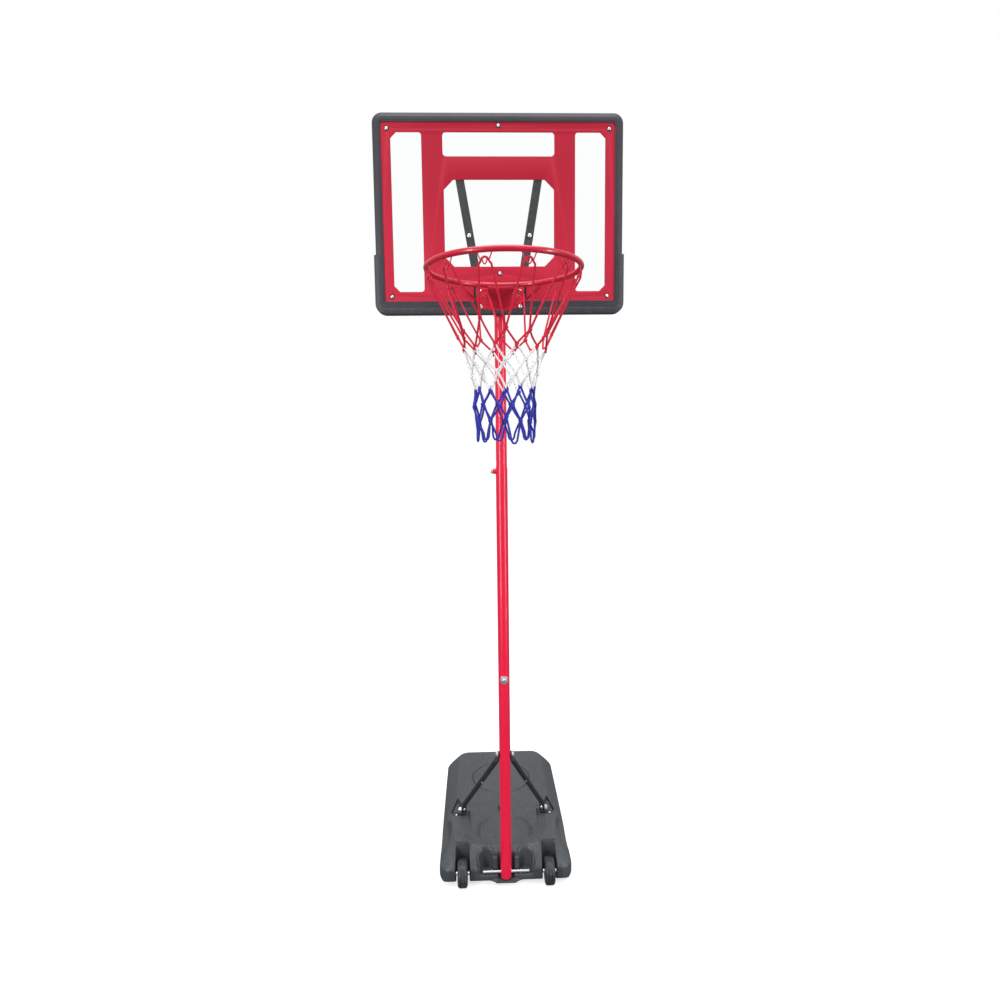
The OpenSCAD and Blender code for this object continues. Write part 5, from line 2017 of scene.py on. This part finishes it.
@dataclass
class Net:
    """The knotted net: three bands of cord that hang from the hooks in diamonds."""

    rim: Rim
    rows: tuple[Triple, ...] = (
        (1930, 134, 0.0), (1892, 117, 0.5), (1856, 104, 0.0), (1818, 95, 0.5), (1774, 87, 0.0),
        (1734, 88, 0.5),
        (1690, 86, 0.0))
    bottom: tuple[float, float] = (1633, 84)
    cord: float = 2.9
    seed: int = 7

    def __post_init__(self) -> None:
        """Draws each knot's own small shift."""
        chance = np.random.default_rng(self.seed)
        self.shift = chance.normal(0, 1, (len(self.rows) + 1, self.rim.hooks, 3)) * [0.016, 1.6, 3.4]
        self.shift[4:] *= [2.2, 1.6, 1.7]
        self.wander = chance
        self.shift[0, 8] = [0.0, 4.0, 30.0]

    def knot(self, row: int, index: int, lean: float = 0.0) -> Array:
        """Where a knot sits; lean moves the point out from the net's skin."""
        z, radius, offset = self.rows[row]
        turn, out, lift = self.shift[row, index % self.rim.hooks]
        angle = (index + offset) * TURN / self.rim.hooks + turn
        return self.rim.around(angle, radius + out + lean, z + lift)

    def strand(self, stops: Sequence[Array]) -> Array:
        """A cord through its stops, with a little slack and wander between them."""
        path = [stops[0]]
        for a, b in zip(stops[:-1], stops[1:]):
            length = float(np.linalg.norm(b - a))
            sway = self.wander.normal(0, 0.9, 3)
            for t in (0.12, 0.3, 0.5, 0.7, 0.88):
                point = a + (b - a) * t
                inward = np.array([-point[0], self.rim.centre_y - point[1], 0])
                inward /= np.linalg.norm(inward)
                bow = 4 * t * (1 - t) * min(length, 60) / 60
                path.append(point + bow * (inward * 1.2 + sway + np.array([0, 0, -1.0])))
            path.append(b)
        return np.array(path)

    def yarn(self, name: str, skin: str, thickness: float, paths: list[Array], knots: list[Array],
             seed: int, tight: float, *nodes: str) -> None:
        """Makes one band of cord with its knots."""
        mesh = bpy.data.meshes.new(name)
        points = np.concatenate(paths) * MM
        edges, start = [], 0
        for path in paths:
            edges += [(start + k, start + k + 1) for k in range(len(path) - 1)]
            start += len(path)
        mesh.from_pydata(points.tolist(), edges, [])
        obj = linked(name, mesh)
        out = [(k[0], k[1] - self.rim.centre_y, 0) for k in knots]
        places = marks("knots", knots, out)
        t = np.arange(30) * TURN / 30
        size = thickness * tight
        loop = np.column_stack([(np.sin(t) + 2 * np.sin(2 * t)) * size,
                                (np.cos(t) - 2 * np.cos(2 * t)) * size * 0.92,
                                -np.sin(3 * t) * size * 0.9]) * MM
        model = bpy.data.meshes.new("knot")
        model.from_pydata(loop.tolist(), [(k, (k + 1) % 30) for k in range(30)], [])
        template = linked("knot", model)
        repeat(yarn_tree).run(obj, Knots=places, Knot_Path=template, Thickness=thickness * MM, Sides=9,
                              Seed=seed,
                              Finish=finish(skin))
        for spare in (places, template):
            bpy.data.objects.remove(spare)
        smooth(obj.data, 70)
        deliver(obj, *nodes, like="net", skin=skin)

    def over_hook(self, index: int) -> list[Array]:
        """The part of a red cord that lies over its hook."""
        angle = (index + 0.5) * TURN / self.rim.hooks
        drawn = [(-16.5, -27), (-12, -21.5), (-7, -13.5), (0, -10.5), (7, -13.5), (12, -21.5), (16.5, -27)]
        base = self.rim.around(angle, self.rim.radius, self.rim.level - self.rim.rod)
        along = np.array([-math.sin(angle), math.cos(angle), 0])
        outward = np.array([math.cos(angle), math.sin(angle), 0])
        return [base + along * x + np.array([0, 0, z]) - outward * max(0, -z - 14) * 0.25 for x, z in drawn]

    def build(self) -> None:
        """Makes the red, the white and the blue band."""
        count = self.rim.hooks
        red, white, blue = [], [], []
        for i in range(count):
            low_left, low_right = self.knot(1, i - 1, -1.5), self.knot(1, i + 1, 1.5)
            tail = np.array([0, 0, -11.0])
            hook = self.over_hook(i)
            first = self.strand([low_left + tail + [1.5, 0, 0], low_left, self.knot(0, i, 1.5), hook[0]])
            last = self.strand([hook[-1], self.knot(0, i + 1, -1.5), low_right,
                                low_right + tail + [-1.5, 0, 0]])
            red.append(np.concatenate([first[:-1], spline(hook, 4), last[1:]]))
            white.append(self.strand([self.knot(1, i, 1.5), self.knot(2, i + 1, 1.5),
                                      self.knot(3, i + 1, -1.5),
                                      self.knot(4, i + 2, 1.5)]))
            white.append(self.strand([self.knot(1, i, -1.5), self.knot(2, i, -1.5), self.knot(3, i - 1, 1.5),
                                      self.knot(4, i - 1, -1.5)]))
            z, radius = self.bottom
            turn, out, lift = self.shift[7, i]
            angle = (i + 0.5) * TURN / count + turn
            foot = [self.rim.around(angle + d, radius + out, z + lift + up)
                    for d, up in ((-0.12, 16), (-0.1, 6), (-0.055, 0), (0, -2), (0.055, 0), (0.1, 6),
                                  (0.12, 16))]
            up = np.array([0, 0, 6.0])
            start, end = self.knot(4, i - 1, 1.5), self.knot(4, i + 2, -1.5)
            going = self.strand([start + up, start, self.knot(5, i - 1, 1.5), self.knot(6, i, 1.5), foot[0]])
            coming = self.strand([foot[-1], self.knot(6, i + 1, -1.5), self.knot(5, i + 1, -1.5), end,
                                  end + up])
            blue.append(np.concatenate([going, foot[1:-1], coming]))
        rows = [[self.knot(row, i) for i in range(count)] for row in range(len(self.rows))]
        self.yarn("net_red", "yarn_red", self.cord, red, rows[0] + rows[1], 31, 0.5, "net")
        self.yarn("net_white", "yarn_white", self.cord * 0.95, white, rows[2] + rows[3], 32, 0.5)
        self.yarn("net_blue", "yarn_blue", self.cord * 1.06, blue, rows[4] + rows[5] + rows[6], 33, 0.42)


# ---- the studio


@dataclass
class Studio:
    """The pale floor, the soft lights and the camera."""

    eye: Triple = (-0.0798, -2.6197, 1.6736)
    pitch: float = 6.43
    yaw: float = 1.872
    roll: float = -0.0118
    lens: float = 23.68
    dome: tuple[float, float, float, float] = (-0.2, 0.25, 0.15, 0.64)

    def camera(self) -> None:
        """Sets the camera at the player's eye."""
        data = bpy.data.cameras.new("camera")
        data.lens, data.sensor_width = self.lens, 36
        pitch, yaw = math.radians(self.pitch), math.radians(self.yaw)
        ahead = Vector((math.sin(yaw) * math.cos(pitch), math.cos(yaw) * math.cos(pitch), -math.sin(pitch)))
        right = Vector((math.cos(yaw), -math.sin(yaw), 0))
        up = right.cross(ahead)
        across = math.cos(self.roll) * right + math.sin(self.roll) * up
        over = -math.sin(self.roll) * right + math.cos(self.roll) * up
        obj = linked("camera", data)
        obj.matrix_world = Matrix.Translation(self.eye) @ Matrix((across, over, -ahead)).transposed().to_4x4()
        bpy.context.scene.camera = obj

    def light(self, name: str, place: Triple, aim: Triple,
              size: tuple[float, float], power: float) -> None:
        """Adds one soft area light that faces a point."""
        data = bpy.data.lights.new(name, "AREA")
        data.shape, data.size, data.size_y, data.energy = "RECTANGLE", size[0], size[1], power
        obj = linked(name, data)
        obj.location = place
        obj.rotation_euler = (Vector(aim) - Vector(place)).to_track_quat("-Z", "Y").to_euler()

    def build(self) -> None:
        """Lays the floor, lights it and sets the camera."""
        paint = Paint("studio_floor")
        paint.done(paint.surface(Base_Color=(0.8, 0.8, 0.8, 1), Roughness=0.9,
                                 Emission_Color=(1, 1, 1, 1), Emission_Strength=0.62))
        mesh = bpy.data.meshes.new("floor")
        mesh.from_pydata([(-30, -30, 0), (30, -30, 0), (30, 30, 0), (-30, 30, 0)], [], [(0, 1, 2, 3)])
        mesh.materials.append(bpy.data.materials["studio_floor"])
        floor = linked("floor", mesh)
        floor.visible_diffuse = floor.visible_glossy = False
        world = bpy.data.worlds.new("world")
        world.use_nodes = True
        nodes, links = world.node_tree.nodes, world.node_tree.links
        nodes["Background"].inputs["Color"].default_value = (1, 1, 1, 1)
        height = nodes.new("ShaderNodeSeparateXYZ")
        links.new(nodes.new("ShaderNodeTexCoord").outputs["Generated"], height.inputs[0])
        dome = nodes.new("ShaderNodeMapRange")
        links.new(height.outputs["Z"], dome.inputs["Value"])
        for socket, value in zip(("From Min", "From Max", "To Min", "To Max"), self.dome):
            dome.inputs[socket].default_value = value
        share = nodes.new("ShaderNodeMix")
        links.new(nodes.new("ShaderNodeLightPath").outputs["Is Camera Ray"], share.inputs["Factor"])
        links.new(dome.outputs["Result"], share.inputs["A"])
        share.inputs["B"].default_value = 1.0
        links.new(share.outputs["Result"], nodes["Background"].inputs["Strength"])
        bpy.context.scene.world = world
        bpy.context.scene.view_settings.view_transform = "Standard"
        self.light("overhead", (0.0, -0.9, 4.6), (0, -0.2, 0), (2.6, 2.6), 70)
        self.light("left strip", (-2.2, -2.8, 1.5), (0, -0.2, 1.1), (0.35, 2.8), 58)
        self.light("right strip", (2.6, -2.1, 1.4), (0, -0.3, 1.0), (0.4, 2.8), 44)
        self.camera()


def main() -> None:
    """Builds the hoop and its studio."""
    logging.basicConfig(level=logging.INFO, format="%(message)s")
    rim = Rim()
    for part in (Tank(), Ballast(), RunningGear(), FootPivot(), Struts(), Pole(), Board(), rim, Net(rim),
                 Studio()):
        part.build()


if __name__ == "__main__":
    main()
